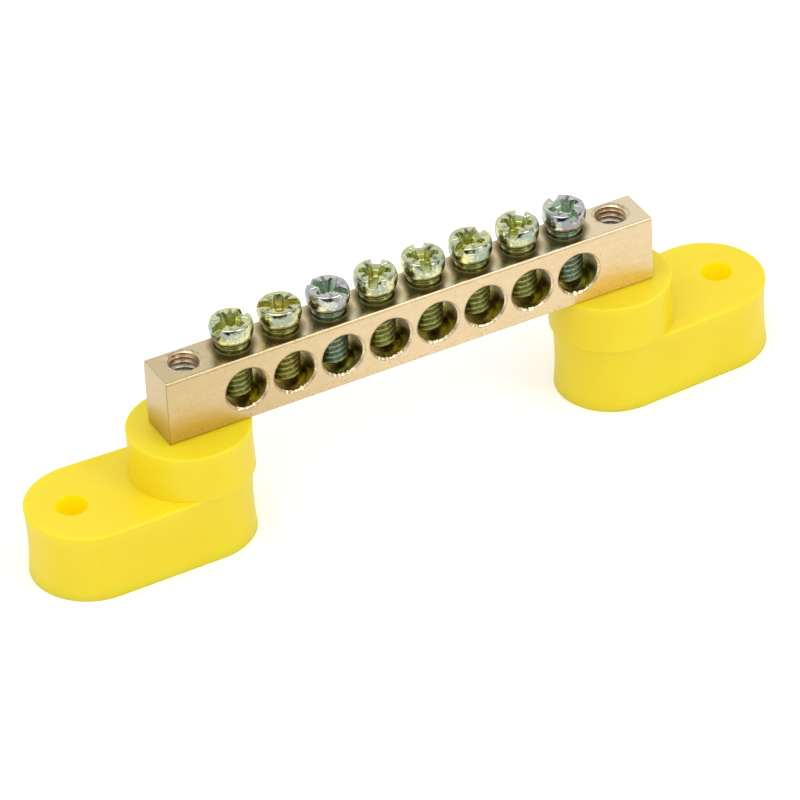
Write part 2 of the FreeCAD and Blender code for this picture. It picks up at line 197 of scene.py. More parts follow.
def lathe(outline: Sequence[tuple[float, float]], columns: int, along_y: bool = False) -> Shell:
    """Turn an outline about its own axis.

    Args:
        outline: Pairs of radius and height; the first and last have radius 0.
        columns: Number of steps round the axis.
        along_y: Whether the axis is Y, with the height along it, instead of Z.

    Returns:
        A closed shell.
    """
    angles = np.linspace(0, 2 * math.pi, columns, endpoint=False)
    rings = [np.array([[0.0, 0.0, outline[0][1]]])]
    for radius, height in outline[1:-1]:
        rings.append(np.stack([radius * np.cos(angles), radius * np.sin(angles), np.full(columns, height)], 1))
    rings.append(np.array([[0.0, 0.0, outline[-1][1]]]))
    points = np.vstack(rings)
    last = len(points) - 1
    top = last - columns
    faces: list[tuple[int, ...]] = []
    for column in range(columns):
        after = (column + 1) % columns
        faces.append((0, 1 + after, 1 + column))
        for low in range(1, top, columns):
            faces.append((low + column, low + after, low + columns + after, low + columns + column))
        faces.append((top + column, top + after, last))
    if along_y:
        points = points[:, [0, 2, 1]]
        faces = [tuple(reversed(face)) for face in faces]
    return Shell(points, faces)


def cut(body: bpy.types.Object, tool: Shell, join: bool = False) -> None:
    """Cut a shell out of an object, or join it on, and keep the result as its mesh.

    Args:
        body: Object to change.
        tool: The cutting shell.
        join: Join instead of cut.
    """
    cutter = tool.to_object("cutter")
    change = body.modifiers.new("cut", "BOOLEAN")
    change.operation = "UNION" if join else "DIFFERENCE"
    change.solver = "MANIFOLD"
    change.object = cutter
    bpy.context.view_layer.update()
    changed = bpy.data.meshes.new_from_object(body.evaluated_get(bpy.context.evaluated_depsgraph_get()))
    body.modifiers.remove(change)
    if not changed.polygons:
        raise RuntimeError("a cut left nothing of " + body.name)
    old, body.data = body.data, changed
    bpy.data.meshes.remove(old)
    bpy.data.objects.remove(cutter)


def crisp(body: bpy.types.Object, angle: float) -> None:
    """Shade an object smooth up to an angle, with flat faces kept flat.

    Args:
        body: Object to shade.
        angle: The angle in degrees from which an edge stays sharp.
    """
    mesh = body.data
    mesh.polygons.foreach_set("use_smooth", [True] * len(mesh.polygons))
    mesh.set_sharp_from_angle(angle=math.radians(angle))
    weighted = body.modifiers.new("face_weight", "WEIGHTED_NORMAL")
    weighted.keep_sharp = True
    weighted.weight = 80


def coat(body: bpy.types.Object, *finishes: bpy.types.Material) -> None:
    """Give an object its finishes.

    Args:
        body: Object to coat.
        *finishes: Its finishes; the first one goes on every face.
    """
    body.data.materials.clear()
    for finish in finishes:
        body.data.materials.append(finish)


@dataclass(frozen=True)
class Helix:
    """A single-start right-hand thread with a flat crest and a flat root.

    Attributes:
        crest: Largest radius.
        root: Smallest radius.
        edge: How far the edges of the crest and the root are taken off.
    """

    crest: float
    root: float
    edge: float = 0.03

    def profile(self) -> tuple[np.ndarray, np.ndarray, np.ndarray]:
        """One pitch of the profile, from the lower edge of the crest upwards.

        Returns:
            Shares of the pitch, radii, and the outward and upward part of the direction at each point.
        """
        shares = np.array([0.0, 0.035, 0.10, 0.135, 0.42, 0.47, 0.66, 0.71])
        high, low = self.crest - self.edge, self.root + self.edge
        radii = np.array([high, self.crest, self.crest, high, low, self.root, self.root, low])
        level = np.array([1.0, 0.0])
        upper = np.array([(shares[4] - shares[3]) * THREAD_PITCH, high - low])
        lower = np.array([(1.0 - shares[7]) * THREAD_PITCH, low - high])
        upper /= np.linalg.norm(upper)
        lower /= np.linalg.norm(lower)
        return shares, radii, np.array([lower, level, level, upper, upper, level, level, lower])

    def shell(
        self, bottom: float, top: float, chamfer: float = 0.0, end: float = 0.0, shaded: bool = False,
    ) -> Shell:
        """Cut a length of the thread, with rows that follow the helix.

        Args:
            bottom: Lower end, measured in the frame of the solids so that mating threads agree.
            top: Upper end.
            chamfer: Height of the cone at the lower end.
            end: Radius at the lower end of that cone.
            shaded: Whether to give exact directions, with the ends on points of their own.

        Returns:
            A closed shell about the Z axis.
        """
        shares, radii, ways = self.profile()
        first = math.floor(bottom / THREAD_PITCH) - 2
        turns = math.ceil((top - bottom) / THREAD_PITCH) + 4
        rows = (first + np.arange(turns)[:, None] + shares).ravel() * THREAD_PITCH
        angles = np.linspace(0, 2 * math.pi, COARSE, endpoint=False)[:, None]
        lift = THREAD_PITCH * angles / (2 * math.pi)
        heights = np.clip(rows + lift, bottom, top)
        radius = np.interp((heights - lift) / THREAD_PITCH % 1.0, np.append(shares, 1.0), np.append(radii, radii[0]))
        way = np.tile(ways, (COARSE, turns, 1))
        if chamfer > 0:
            cone = end + (heights - bottom) * (self.crest - end) / chamfer
            way[cone < radius] = np.array([chamfer, end - self.crest]) / math.hypot(chamfer, self.crest - end)
            radius = np.minimum(radius, cone)
        outward, upward = way[..., 0], way[..., 1]
        slide = upward * (THREAD_PITCH / (2 * math.pi) / np.maximum(radius, 0.5))
        cos, sin = np.cos(angles), np.sin(angles)
        points = np.stack([radius * cos, radius * sin, heights], -1).reshape(-1, 3)
        normals = np.stack([outward * cos + slide * sin, outward * sin - slide * cos, upward], -1).reshape(-1, 3)
        normals /= np.linalg.norm(normals, axis=1)[:, None]
        faces: list[tuple[int, ...]] = []
        count = len(rows)
        for column in range(COARSE):
            low, high = column * count, (column + 1) % COARSE * count
            shift = len(shares) if column == COARSE - 1 else 0
            for row in range(count - 1 - shift):
                faces.append((low + row, high + row + shift, high + row + shift + 1, low + row + 1))
            for row in range(shift):
                faces.append((low, high + row, high + row + 1))
        return self.closed(Shell(points, faces, normals), bottom, top, shaded)

    def closed(self, shell: Shell, bottom: float, top: float, shaded: bool) -> Shell:
        """Drop the faces that the ends flattened, and close both ends.

        Args:
            shell: The open thread, its end rows pressed flat.
            bottom: Height of the lower end.
            top: Height of the upper end.
            shaded: Whether the ends get points of their own, so that they shade flat.

        Returns:
            The closed shell.
        """
        keys = np.round(shell.points / 1e-4).astype(np.int64)
        first, merged = np.unique(keys, axis=0, return_index=True, return_inverse=True)[1:]
        merged = merged.ravel()
        points, normals = shell.points[first], shell.normals[first]
        faces = []
        for face in shell.faces:
            kept = tuple(dict.fromkeys(int(merged[number]) for number in face))
            if len(kept) > 2:
                faces.append(kept)
        for level, upward in ((bottom, -1.0), (top, 1.0)):
            ring = np.flatnonzero(np.abs(points[:, 2] - level) < 1e-6)
            order = ring[np.argsort(np.arctan2(points[ring, 1], points[ring, 0]))]
            if shaded:
                start = len(points)
                points = np.vstack([points, points[order]])
                normals = np.vstack([normals, np.tile([0.0, 0.0, upward], (len(order), 1))])
                order = np.arange(start, len(points))
            loop = tuple(int(number) for number in order)
            faces.append(loop if upward > 0 else tuple(reversed(loop)))
        return Shell(points, faces, normals if shaded else None)


Field = Callable[[np.ndarray], np.ndarray]


@dataclass(frozen=True)
class FieldMesher:
    """Meshes the zero level of a distance field on an even grid.

    Attributes:
        step: Grid step in millimetres.
    """

    step: float

    def slope(self, distance: Field, points: np.ndarray) -> np.ndarray:
        """Direction in which the field grows, and how fast.

        Args:
            distance: Gives the field at rows of points.
            points: The points.

        Returns:
            One row for each point.
        """
        reach = self.step * 0.2
        parts = [(distance(points + nudge) - distance(points - nudge)) / (2 * reach) for nudge in np.eye(3) * reach]
        return np.stack(parts, 1)

    def edge_ends(self, axis: int, aside: slice) -> tuple[tuple[slice, ...], tuple[slice, ...]]:
        """Which grid points the edges along an axis start and end at.

        Args:
            axis: The axis, 0 to 2.
            aside: The points taken along the other two axes.

        Returns:
            The index of the starts and the index of the ends.
        """
        low, high = [aside] * 3, [aside] * 3
        low[axis], high[axis] = slice(0, -1), slice(1, None)
        return tuple(low), tuple(high)

    def mesh(self, distance: Field, low: Sequence[float], high: Sequence[float]) -> Shell:
        """Mesh a field inside a box.

        Args:
            distance: Gives the field at rows of points.
            low: Lowest corner of the box.
            high: Highest corner of the box.

        Returns:
            A closed shell with exact outward directions.
        """
        axes = [np.arange(a, b + self.step, self.step) for a, b in zip(low, high)]
        grid = np.stack(np.meshgrid(*axes, indexing="ij"), -1)
        shape = grid.shape[:3]
        values = distance(grid.reshape(-1, 3)).reshape(shape)
        inside = values < 0
        cells = tuple(size - 1 for size in shape)
        total, count = np.zeros(cells + (3,)), np.zeros(cells, int)
        corners = ((1, 1), (0, 1), (0, 0), (1, 0))
        # One point in each cell that the surface passes, in the middle of where it crosses the cell's edges
        for axis in range(3):
            start, stop = self.edge_ends(axis, slice(1, -1))
            one, two = values[start], values[stop]
            crossing = inside[start] != inside[stop]
            place = grid[start].copy()
            place[..., axis] += np.where(crossing, one / np.where(one == two, 1, one - two), 0.0) * self.step
            place *= crossing[..., None]
            for back in corners:
                where = [slice(None)] * 3
                for other, shift in zip((axis - 2, axis - 1), back):
                    where[other] = slice(1 - shift, shape[other] - 1 - shift)
                total[tuple(where)] += place
                count[tuple(where)] += crossing
        active = count > 0
        number = np.full(cells, -1)
        number[active] = np.arange(active.sum())
        points = total[active] / count[active][:, None]
        # One face round each edge that the surface crosses
        quads = []
        for axis in range(3):
            start, stop = self.edge_ends(axis, slice(None))
            crossing = inside[start] != inside[stop]
            ring = []
            for back in corners:
                cell = np.argwhere(crossing)
                cell[:, [axis - 2, axis - 1]] -= back
                ring.append(number[tuple(cell.T)])
            faces = np.stack(ring, 1)
            inward = ~inside[start][crossing]
            faces[inward] = faces[inward][:, ::-1]
            quads.append(faces)
        for _pass in range(3):
            growth = self.slope(distance, points)
            move = distance(points) / np.maximum((growth ** 2).sum(1), 0.05)
            points = points - np.clip(move, -self.step * 0.5, self.step * 0.5)[:, None] * growth
        growth = self.slope(distance, points)
        normals = growth / np.maximum(np.linalg.norm(growth, axis=1), 1e-9)[:, None]
        return Shell(points, [tuple(row) for row in np.vstack(quads).tolist()], normals)


Value = Union[float, "Signal"]
Colour = Union[tuple, "Signal"]


@dataclass(frozen=True)
class Signal:
    """A shader socket that takes part in plain arithmetic; every step adds a Math node.

    Attributes:
        tree: The tree that the socket is in.
        socket: The output socket.
    """

    tree: "ShaderTree"
    socket: bpy.types.NodeSocket

    def step(self, operation: str, *values: Value) -> "Signal":
        """Add one Math node."""
        return self.tree.add("ShaderNodeMath", {"operation": operation}, dict(enumerate(values)))

    def beside(self, output: str) -> "Signal":
        """Another output of the same node."""
        return Signal(self.tree, self.socket.node.outputs[output])

    def __add__(self, other: Value) -> "Signal":
        """This plus other."""
        return self.step("ADD", self, other)

    def __radd__(self, other: Value) -> "Signal":
        """Other plus this."""
        return self.step("ADD", other, self)

    def __sub__(self, other: Value) -> "Signal":
        """This less other."""
        return self.step("SUBTRACT", self, other)

    def __rsub__(self, other: Value) -> "Signal":
        """Other less this."""
        return self.step("SUBTRACT", other, self)

    def __mul__(self, other: Value) -> "Signal":
        """This times other."""
        return self.step("MULTIPLY", self, other)

    def __rmul__(self, other: Value) -> "Signal":
        """Other times this."""
        return self.step("MULTIPLY", other, self)

    def __truediv__(self, other: Value) -> "Signal":
        """This over other."""
        return self.step("DIVIDE", self, other)

    def __rtruediv__(self, other: Value) -> "Signal":
        """Other over this."""
        return self.step("DIVIDE", other, self)

    def __abs__(self) -> "Signal":
        """Size of this without its sign."""
        return self.step("ABSOLUTE", self)

    def root(self) -> "Signal":
        """Square root of this."""
        return self.step("SQRT", self)

    def least(self, other: Value) -> "Signal":
        """The lower of the two."""
        return self.step("MINIMUM", self, other)

    def most(self, other: Value) -> "Signal":
        """The higher of the two."""
        return self.step("MAXIMUM", self, other)

    def between(self, low: float, high: float) -> "Signal":
        """A smooth step from 0 at low to 1 at high."""
        settings = {"interpolation_type": "SMOOTHSTEP"}
        return self.tree.add("ShaderNodeMapRange", settings, {"Value": self, "From Min": low, "From Max": high})

    def until(self, low: float, high: float) -> "Signal":
        """A smooth step from 1 at low to 0 at high."""
        return 1.0 - self.between(low, high)


class ShaderTree:
    """The node tree of one material or of the surroundings, built by calls and arithmetic."""

    def __init__(self, name: str, surroundings: bool = False) -> None:
        """Start an empty material, or empty surroundings.

        Args:
            name: Name of the material.
            surroundings: Whether it is the world round the scene instead of a material.
        """
        self.surroundings = surroundings
        self.material = bpy.data.worlds.new(name) if surroundings else bpy.data.materials.new(name)
        self.material.use_nodes = True
        self.tree = self.material.node_tree
        self.tree.nodes.clear()

    def add(
        self,
        kind: str,
        settings: Optional[dict] = None,
        inputs: Optional[dict] = None,
        output: Union[int, str, None] = 0,
    ) -> Optional[Signal]:
        """Add one node.

        Args:
            kind: Blender's type of the node.
            settings: Its settings, set before its sockets.
            inputs: Values or links by socket name or number.
            output: Which output to hand back, or None for a node without one.

        Returns:
            The chosen output.
        """
        node = self.tree.nodes.new(kind)
        for name, setting in (settings or {}).items():
            setattr(node, name, setting)
        for name, value in (inputs or {}).items():
            if isinstance(value, Signal):
                self.tree.links.new(value.socket, node.inputs[name])
            else:
                node.inputs[name].default_value = value
        return None if output is None else Signal(self, node.outputs[output])

    def place(self) -> Signal:
        """Where a point of the surface is, in millimetres in the frame of the solids."""
        spot = self.add("ShaderNodeTexCoord", output="Object")
        return self.add("ShaderNodeVectorMath", {"operation": "SCALE"}, {0: spot, "Scale": 1 / MM})

    def facing(self) -> Signal:
        """The direction that the surface faces."""
        return self.add("ShaderNodeNewGeometry", output="Normal")

    def stretch(self, spot: Signal, x: float, y: float, z: float) -> Signal:
        """The place with each direction scaled on its own."""
        return self.add("ShaderNodeVectorMath", {"operation": "MULTIPLY"}, {0: spot, 1: (x, y, z)})

    def shift(self, spot: Signal, x: float, y: float, z: float) -> Signal:
        """The place as seen from another point."""
        return self.add("ShaderNodeVectorMath", {"operation": "SUBTRACT"}, {0: spot, 1: (x, y, z)})

    def turned(self, spot: Signal, angle: float) -> Signal:
        """The place turned about the bar's length by degrees."""
        settings = {"rotation_type": "X_AXIS"}
        return self.add("ShaderNodeVectorRotate", settings, {"Vector": spot, "Angle": math.radians(angle)})

    def part(self, spot: Signal, axis: str) -> Signal:
        """One coordinate of a place."""
        return self.add("ShaderNodeSeparateXYZ", None, {0: spot}, axis)

    def from_bore(self, spot: Signal) -> tuple[Signal, Signal]:
        """How far a place is from the axis of the nearest wire bore: along the bar and upwards, with the sign."""
        along = self.part(spot, "X") - THREAD_X
        return along.step("WRAP", along, HOLE_PITCH / 2, -HOLE_PITCH / 2), self.part(spot, "Z") - BORE_HEIGHT

    def noise(self, spot: Signal, scale: float, detail: float = 2.0, rough: float = 0.5, twist: float = 0.0) -> Signal:
        """Soft noise from 0 to 1.

        Args:
            spot: Where to sample it.
            scale: How many features to a millimetre.
            detail: Number of finer layers.
            rough: Strength of the finer layers.
            twist: How far the noise bends itself.

        Returns:
            The noise.
        """
        inputs = {"Vector": spot, "Scale": scale, "Detail": detail, "Roughness": rough, "Distortion": twist}
        return self.add("ShaderNodeTexNoise", None, inputs)

    def coats(self, base: Colour, *films: tuple[Value, Colour]) -> Colour:
        """Lay films over a colour, one after another.

        Args:
            base: The colour at the bottom.
            *films: How much each film covers, and its colour.

        Returns:
            The colour that shows.
        """
        settings = {"data_type": "RGBA", "blend_type": "MIX", "clamp_factor": True}
        for share, film in films:
            base = self.add("ShaderNodeMix", settings, {0: share, 6: base, 7: film}, 2)
        return base

    def bump(self, height: Signal, depth: float, under: Optional[Signal] = None) -> Signal:
        """Surface relief.

        Args:
            height: Height from 0 to 1.
            depth: What a height of 1 stands for, in millimetres.
            under: Coarser relief below it.

        Returns:
            The bumped normal.
        """
        inputs: dict = {"Strength": 1.0, "Distance": depth * MM, "Height": height}
        if under is not None:
            inputs["Normal"] = under
        return self.add("ShaderNodeBump", None, inputs)

    def surface(self, **sockets: Union[float, tuple, Signal]) -> bpy.types.Material:
        """Close the tree with the main shader.

        Args:
            **sockets: Socket names, with an underscore for a space, and their values or links.

        Returns:
            The finished material.
        """
        inputs = {name.replace("_", " "): value for name, value in sockets.items()}
        self.add_output(self.add("ShaderNodeBsdfPrincipled", None, inputs))
        return self.material

    def add_output(self, shader: Signal) -> None:
        """Lead a shader to the material's output."""
        kind = "ShaderNodeOutputWorld" if self.surroundings else "ShaderNodeOutputMaterial"
        self.add(kind, None, {"Surface": shader}, None)


@dataclass(frozen=True)
class DrawnBrass:
    """Drawn brass bar stock with a fine sandy skin, its ends sawn.

    Attributes:
        pale: Colour of the drawn faces.
        warm: Colour of the deeper patches.
        painted_top_light: Painted light: the colour of the top, laid a little brighter.
        sawn: Colour of the sawn ends.
        painted_left_shade: Painted shade, darker towards the left end and lower down.
        line: Colour of the fine dark lines along the edges and round the bores, which are painted shade.
        film: Colour of the painted reflection and shadow of each clamp screw on the top.
        speck: Colour of the pits, and of the painted shade where a clamp screw meets the bar.
        line_radius: Radius of the fine line round each wire bore.
    """

    pale: tuple = display(240, 218, 178)
    warm: tuple = display(224, 196, 148)
    painted_top_light: tuple = display(255, 238, 202)
    sawn: tuple = display(234, 219, 182)
    painted_left_shade: tuple = display(192, 167, 104)
    line: tuple = display(122, 88, 50)
    film: tuple = display(138, 121, 68)
    speck: tuple = display(112, 84, 50)
    line_radius: float = 3.99

    def material(self) -> bpy.types.Material:
        """Build the brass of the bar's faces.

        Returns:
            The material.
        """
        tree = ShaderTree("drawn_brass")
        spot, facing = tree.place(), tree.facing()
        streak = tree.noise(tree.stretch(spot, 0.07, 2.6, 2.6), 1.0, 2.0, 0.5)
        cloud = tree.noise(tree.stretch(spot, 0.55, 0.9, 0.9), 0.8, 3.0, 0.6)
        scratch = tree.noise(tree.stretch(spot, 0.12, 10.0, 10.0), 1.0, 3.0, 0.6)
        sand = tree.noise(spot, 3.6, 3.0, 0.7)
        pits = tree.noise(tree.stretch(spot, 1.0, 1.5, 1.5), 2.9, 0.0, 0.5)
        saw = tree.noise(tree.stretch(tree.turned(spot, 38.0), 1.0, 0.10, 3.4), 1.0, 2.0, 0.6)
        end_face = abs(tree.part(facing, "X")).between(0.7, 0.9)
        top_face = tree.part(facing, "Z").between(0.7, 0.9)
        height = tree.part(spot, "Z")
        low, lower_edge = height.until(BAR_SEAT, BAR_SEAT + 7), height.until(BAR_SEAT + 0.2, BAR_SEAT + 2.2)
        to_left = tree.part(spot, "X").until(BAR_LEFT + 1, BAR_LEFT + 48)
        speck = (pits + lower_edge * 0.08).between(0.745, 0.80)
        # Painted shade: the reflection and shadow of each clamp screw on the top, darkest where it meets the bar.
        screw_shade = self.screw_shade(tree, spot) * top_face
        contact_shade = screw_shade.between(0.68, 0.95)
        colour = tree.coats(
            self.pale,
            ((cloud * 0.65 + streak * 0.35).between(0.36, 0.66) * 0.40, self.warm),
            # Painted light: the top is laid brighter than the sides.
            (top_face * 0.95, self.painted_top_light),
            (sand.between(0.46, 0.70) * (0.55 - top_face * 0.35), self.warm),
            (scratch.between(0.42, 0.66) * (0.24 + to_left * 0.34), self.warm),
            (end_face * 0.6, self.sawn),
            # Painted shade: darker towards the left end and lower down.
            (to_left * (0.38 + low * 0.30), self.painted_left_shade),
            # Painted shade: fine dark lines under the long edges, at the sawn end and round each bore.
            (self.lines(tree, spot, end_face, top_face) * 0.72, self.line),
            # Painted reflection and shadow of each clamp screw, and painted shade where it meets the bar.
            ((screw_shade * 1.3).least(0.95), self.film),
            (contact_shade * 0.40, self.speck),
            (speck * 0.5, self.speck),
        )
        rough = 0.29 + cloud * 0.06 + sand * 0.08 + speck * 0.2 + end_face * 0.02 - top_face * 0.12
        rough = rough + screw_shade * 0.16 + contact_shade * 0.15
        relief = tree.bump((sand * 0.8 + scratch * 0.2) * (1.0 - top_face * 0.85), 0.010)
        relief = tree.bump(saw * end_face, 0.035, relief)
        return tree.surface(Base_Color=colour, Metallic=1.0 - contact_shade * 0.6, Roughness=rough, Normal=relief)

    def screw_shade(self, tree: ShaderTree, spot: Signal) -> Signal:
        """Painted reflection and shadow of each clamp screw on the top: close round it, and run out in front of it.

        Args:
            tree: The tree to build in.
            spot: The place on the bar.

        Returns:
            The strength, 1 against the screw.
        """
        sideways, forward = tree.from_bore(spot)[0], tree.part(spot, "Y") - THREAD_Y
        away = (sideways * sideways + forward * forward).root()
        thick = away.until(3.3, 4.7) * 0.65 + away.until(3.0, 3.6) * 0.35
        aside, ahead = sideways + 0.7, forward + 2.6
        run_out = (aside * aside + ahead * ahead).root().until(1.6, 3.4)
        return thick.most(run_out * 0.65) * self.in_row(tree, spot)

    def in_row(self, tree: ShaderTree, spot: Signal) -> Signal:
        """Tell the row of wire bores from the two tapped end holes.

        Args:
            tree: The tree to build in.
            spot: The place on the bar.

        Returns:
            1 along the row, 0 at the end holes.
        """
        along = tree.part(spot, "X") - THREAD_X
        first, last = HOLE_PITCH / 2, (BORE_COUNT + 0.5) * HOLE_PITCH
        return along.between(first - 0.05, first + 0.05) * along.until(last - 0.05, last + 0.05)

    def lines(self, tree: ShaderTree, spot: Signal, end_face: Signal, top_face: Signal) -> Signal:
        """The fine dark lines, painted shade: under the long edges, at the sawn ends and round the wire bores.

        Args:
            tree: The tree to build in.
            spot: The place on the bar.
            end_face: 1 on the sawn ends.
            top_face: 1 on the top.

        Returns:
            How dark the line is, 0 to 1.
        """
        under_edge = abs(tree.part(spot, "Z") - (BAR_TOP - 0.46)).until(0.02, 0.10)
        at_end = (tree.part(spot, "X") - BAR_LEFT).until(0.06, 0.17)
        sideways, upwards = tree.from_bore(spot)
        round_bore = abs((sideways * sideways + upwards * upwards).root() - self.line_radius).until(0.02, 0.10)
        patchy = tree.noise(tree.stretch(spot, 0.5, 0.5, 0.5), 1.0, 2.0).between(0.30, 0.62)
        drawn = (under_edge * 0.9).most(round_bore * self.in_row(tree, spot) * 0.85) * (patchy * 0.6 + 0.4)
        return (drawn * (1.0 - top_face)).most(at_end) * (1.0 - end_face)


@dataclass(frozen=True)
class DrilledBrass:
    """Brass in a drilled bore: tool marks, smears of cutting fluid, a painted sheen above, a painted glint low down.

    Attributes:
        bright: Colour of the cut metal.
        painted_sheen: Painted sheen: the upper wall laid paler.
        smear: Colour of the darker wall.
        painted_glint: Painted glint: a bright patch low on one side.
        tapped: Colour of the tapped end holes.
        shade: Colour of the shade, laid over them in patches.
    """

    bright: tuple = display(226, 204, 118)
    painted_sheen: tuple = display(232, 222, 208)
    smear: tuple = display(124, 108, 60)
    painted_glint: tuple = display(255, 236, 110)
    tapped: tuple = display(226, 196, 150)
    shade: tuple = display(134, 96, 56)

    def material(self) -> bpy.types.Material:
        """Build the brass of the bores' walls.

        Returns:
            The material.
        """
        tree = ShaderTree("drilled_brass")
        spot = tree.place()
        rings = tree.noise(tree.stretch(spot, 0.7, 5.0, 0.7), 1.0, 3.0, 0.7)
        cloud = tree.noise(spot, 0.55, 2.0)
        chips = tree.noise(spot, 6.0, 3.0, 0.7)
        sideways, upwards = tree.from_bore(spot)
        upper = upwards.between(-1.0, 0.8)
        glint_patch = sideways.between(0.6, 2.0) * upwards.until(-2.4, -0.8)
        dirt = (rings * 0.5 + cloud * 0.7 - 0.1).between(0.36, 0.62) * (1.0 - upper * 0.6)
        colour = tree.coats(
            self.bright,
            # Painted sheen: the upper wall laid paler.
            (upper, self.painted_sheen),
            (dirt, self.smear),
            (rings.between(0.44, 0.60) * upper * 0.5, self.smear),
            # Painted glint: a bright patch low on one side of each bore.
            (glint_patch * cloud.between(0.38, 0.55), self.painted_glint),
            (upwards.between(3.62, 3.8), tree.coats(self.tapped, (cloud.between(0.40, 0.60) * 0.8, self.shade))),
        )
        rough = 0.19 + chips * 0.14 + rings * 0.08 + upper * 0.22 - glint_patch * 0.08
        relief = tree.bump(rings * 0.7 + chips * 0.3, 0.024)
        return tree.surface(Base_Color=colour, Metallic=1.0 - upper * 0.45, Roughness=rough, Normal=relief)


@dataclass(frozen=True)
class CutEdge:
    """The bright, slightly torn edge that the drill left round each wire bore.

    Attributes:
        bright: Colour of the fresh cut.
        dull: Colour between the torn places.
    """

    bright: tuple = display(248, 234, 204)
    dull: tuple = display(206, 180, 140)

    def material(self) -> bpy.types.Material:
        """Build the brass of the bores' edges.

        Returns:
            The material.
        """
        tree = ShaderTree("cut_edge")
        spot = tree.place()
        torn, chips = tree.noise(spot, 2.6, 3.0, 0.7), tree.noise(spot, 8.0, 2.0, 0.7)
        colour = tree.coats(self.bright, (torn.between(0.4, 0.66), self.dull))
        relief = tree.bump(torn * 0.5 + chips * 0.5, 0.03)
        return tree.surface(Base_Color=colour, Metallic=1.0, Roughness=0.22 + chips * 0.2, Normal=relief)


class Passivation(Enum):
    """How a clamp screw's passivation turned out, with its colours as a screen shows them.

    In turn: the lands, what they shift to, a thin film at the sides that is also painted shade on the slopes of the
    marks, a darker colour in random patches that is also painted shade in the recess and on the shank, the thickest
    film that is also painted reflection at the bottom of the recess, and painted shade low on the head and on the
    thread.
    """

    YELLOW_GREEN = (240, 238, 178), (202, 210, 176), (146, 164, 162), (184, 190, 110), (204, 168, 58), (88, 92, 34)
    BLUE_GREEN = (222, 224, 208), (196, 190, 200), (142, 148, 148), (166, 194, 164), (176, 164, 92), (78, 96, 62)
    OLIVE = (240, 236, 170), (206, 210, 168), (150, 164, 154), (198, 194, 108), (218, 166, 36), (96, 88, 30)


@dataclass(frozen=True)
class PassivatedZinc:
    """Zinc plating with a yellow passivation whose colour shifts from place to place.

    Attributes:
        kind: How the passivation turned out.
        seed: Moves the pattern, so that no two screws match.
    """

    kind: Passivation
    seed: float

    def material(self, x: float, y: float, top: float) -> bpy.types.Material:
        """Build the finish of one screw.

        Args:
            x: Axis of the screw along the bar.
            y: Axis of the screw, front to back.
            top: Height of the head's top.

        Returns:
            The material.
        """
        tree = ShaderTree("passivated_zinc_" + self.kind.name.lower())
        pale, second, third, deep, rich, dark = (display(*colour) for colour in self.kind.value)
        spot = tree.place()
        local = tree.shift(spot, x, y, top)
        moved = tree.shift(spot, self.seed * 13.7, self.seed * 5.1, self.seed * 9.3)
        broad = tree.noise(moved, 0.42, 2.0, 0.5, 0.6)
        small = tree.noise(moved, 2.1, 3.0, 0.6, 0.3)
        grain = tree.noise(moved, 11.0, 2.0, 0.6)
        across = tree.add("ShaderNodeVectorMath", {"operation": "LENGTH"}, {0: tree.stretch(local, 1, 1, 0)}, "Value")
        below = 0.0 - tree.part(local, "Z")
        side = across.between(3.15, 3.4) * below.between(0.15, 0.5)
        # Painted shade on the slopes of the marks, the rim and the upper recess walls, by how far each face tilts.
        mark_shade = tree.part(tree.facing(), "Z").until(0.76, 0.95) * below.until(0.5, 0.8) * (1.0 - side)
        in_recess = below.between(0.15, 1.1) * across.until(2.9, 3.35)
        at_bottom = below.between(1.5, 2.3) * across.until(1.6, 2.2)
        slot_floor = in_recess * below.between(1.2, 1.35) * below.until(1.5, 1.8) * across.between(1.6, 2.2)
        # Painted shade low on the head and on the neck.
        under_head_shade = below.between(2.85, 3.35) * below.until(3.9, 4.1)
        on_shank = below.between(3.75, 4.15)
        # Painted highlight on the crests of the thread.
        crest_highlight = on_shank * across.between(2.82, 2.90) * below.between(4.9, 5.2)
        # Painted shade: a darker, more saturated colour in the recess and on the shank, where light bounces between
        # walls.
        cavity_shade = (in_recess + on_shank).least(1.0)
        amber = 0.8 if self.kind is Passivation.OLIVE else 0.0
        colour = tree.coats(
            pale,
            ((broad * 0.6 + small * 0.4).between(0.40, 0.60), second),
            (side * (broad * 0.5 + small * 0.5).between(0.38, 0.58) * 0.72, third),
            (cavity_shade * (0.55 + small * 0.4), deep),
            (mark_shade * 0.42, third),
            # Painted shade low on the head, at the bottom of the recess and on the thread.
            ((under_head_shade * 0.85).most(at_bottom * 0.15), dark),
            (on_shank * (0.30 + small.between(0.35, 0.65) * 0.5), dark),
            # Painted reflection: a warmer colour at the bottom of the recess.
            (at_bottom * broad.between(0.42, 0.58) * 0.25, rich),
            (slot_floor * broad.between(0.40, 0.50) * amber, rich),
            (small.between(0.56, 0.74) * 0.38, deep),
            # Painted highlight on the crests of the thread.
            (crest_highlight * small.between(0.46, 0.60) * 0.30, pale),
        )
        rough = 0.10 + grain * 0.06 + small.between(0.5, 0.8) * 0.10 + cavity_shade * 0.05 + in_recess * 0.10
        relief = tree.bump(small * 0.75 + grain * 0.25, 0.018)
        return tree.surface(Base_Color=colour, Metallic=1.0, Roughness=rough, Normal=relief)


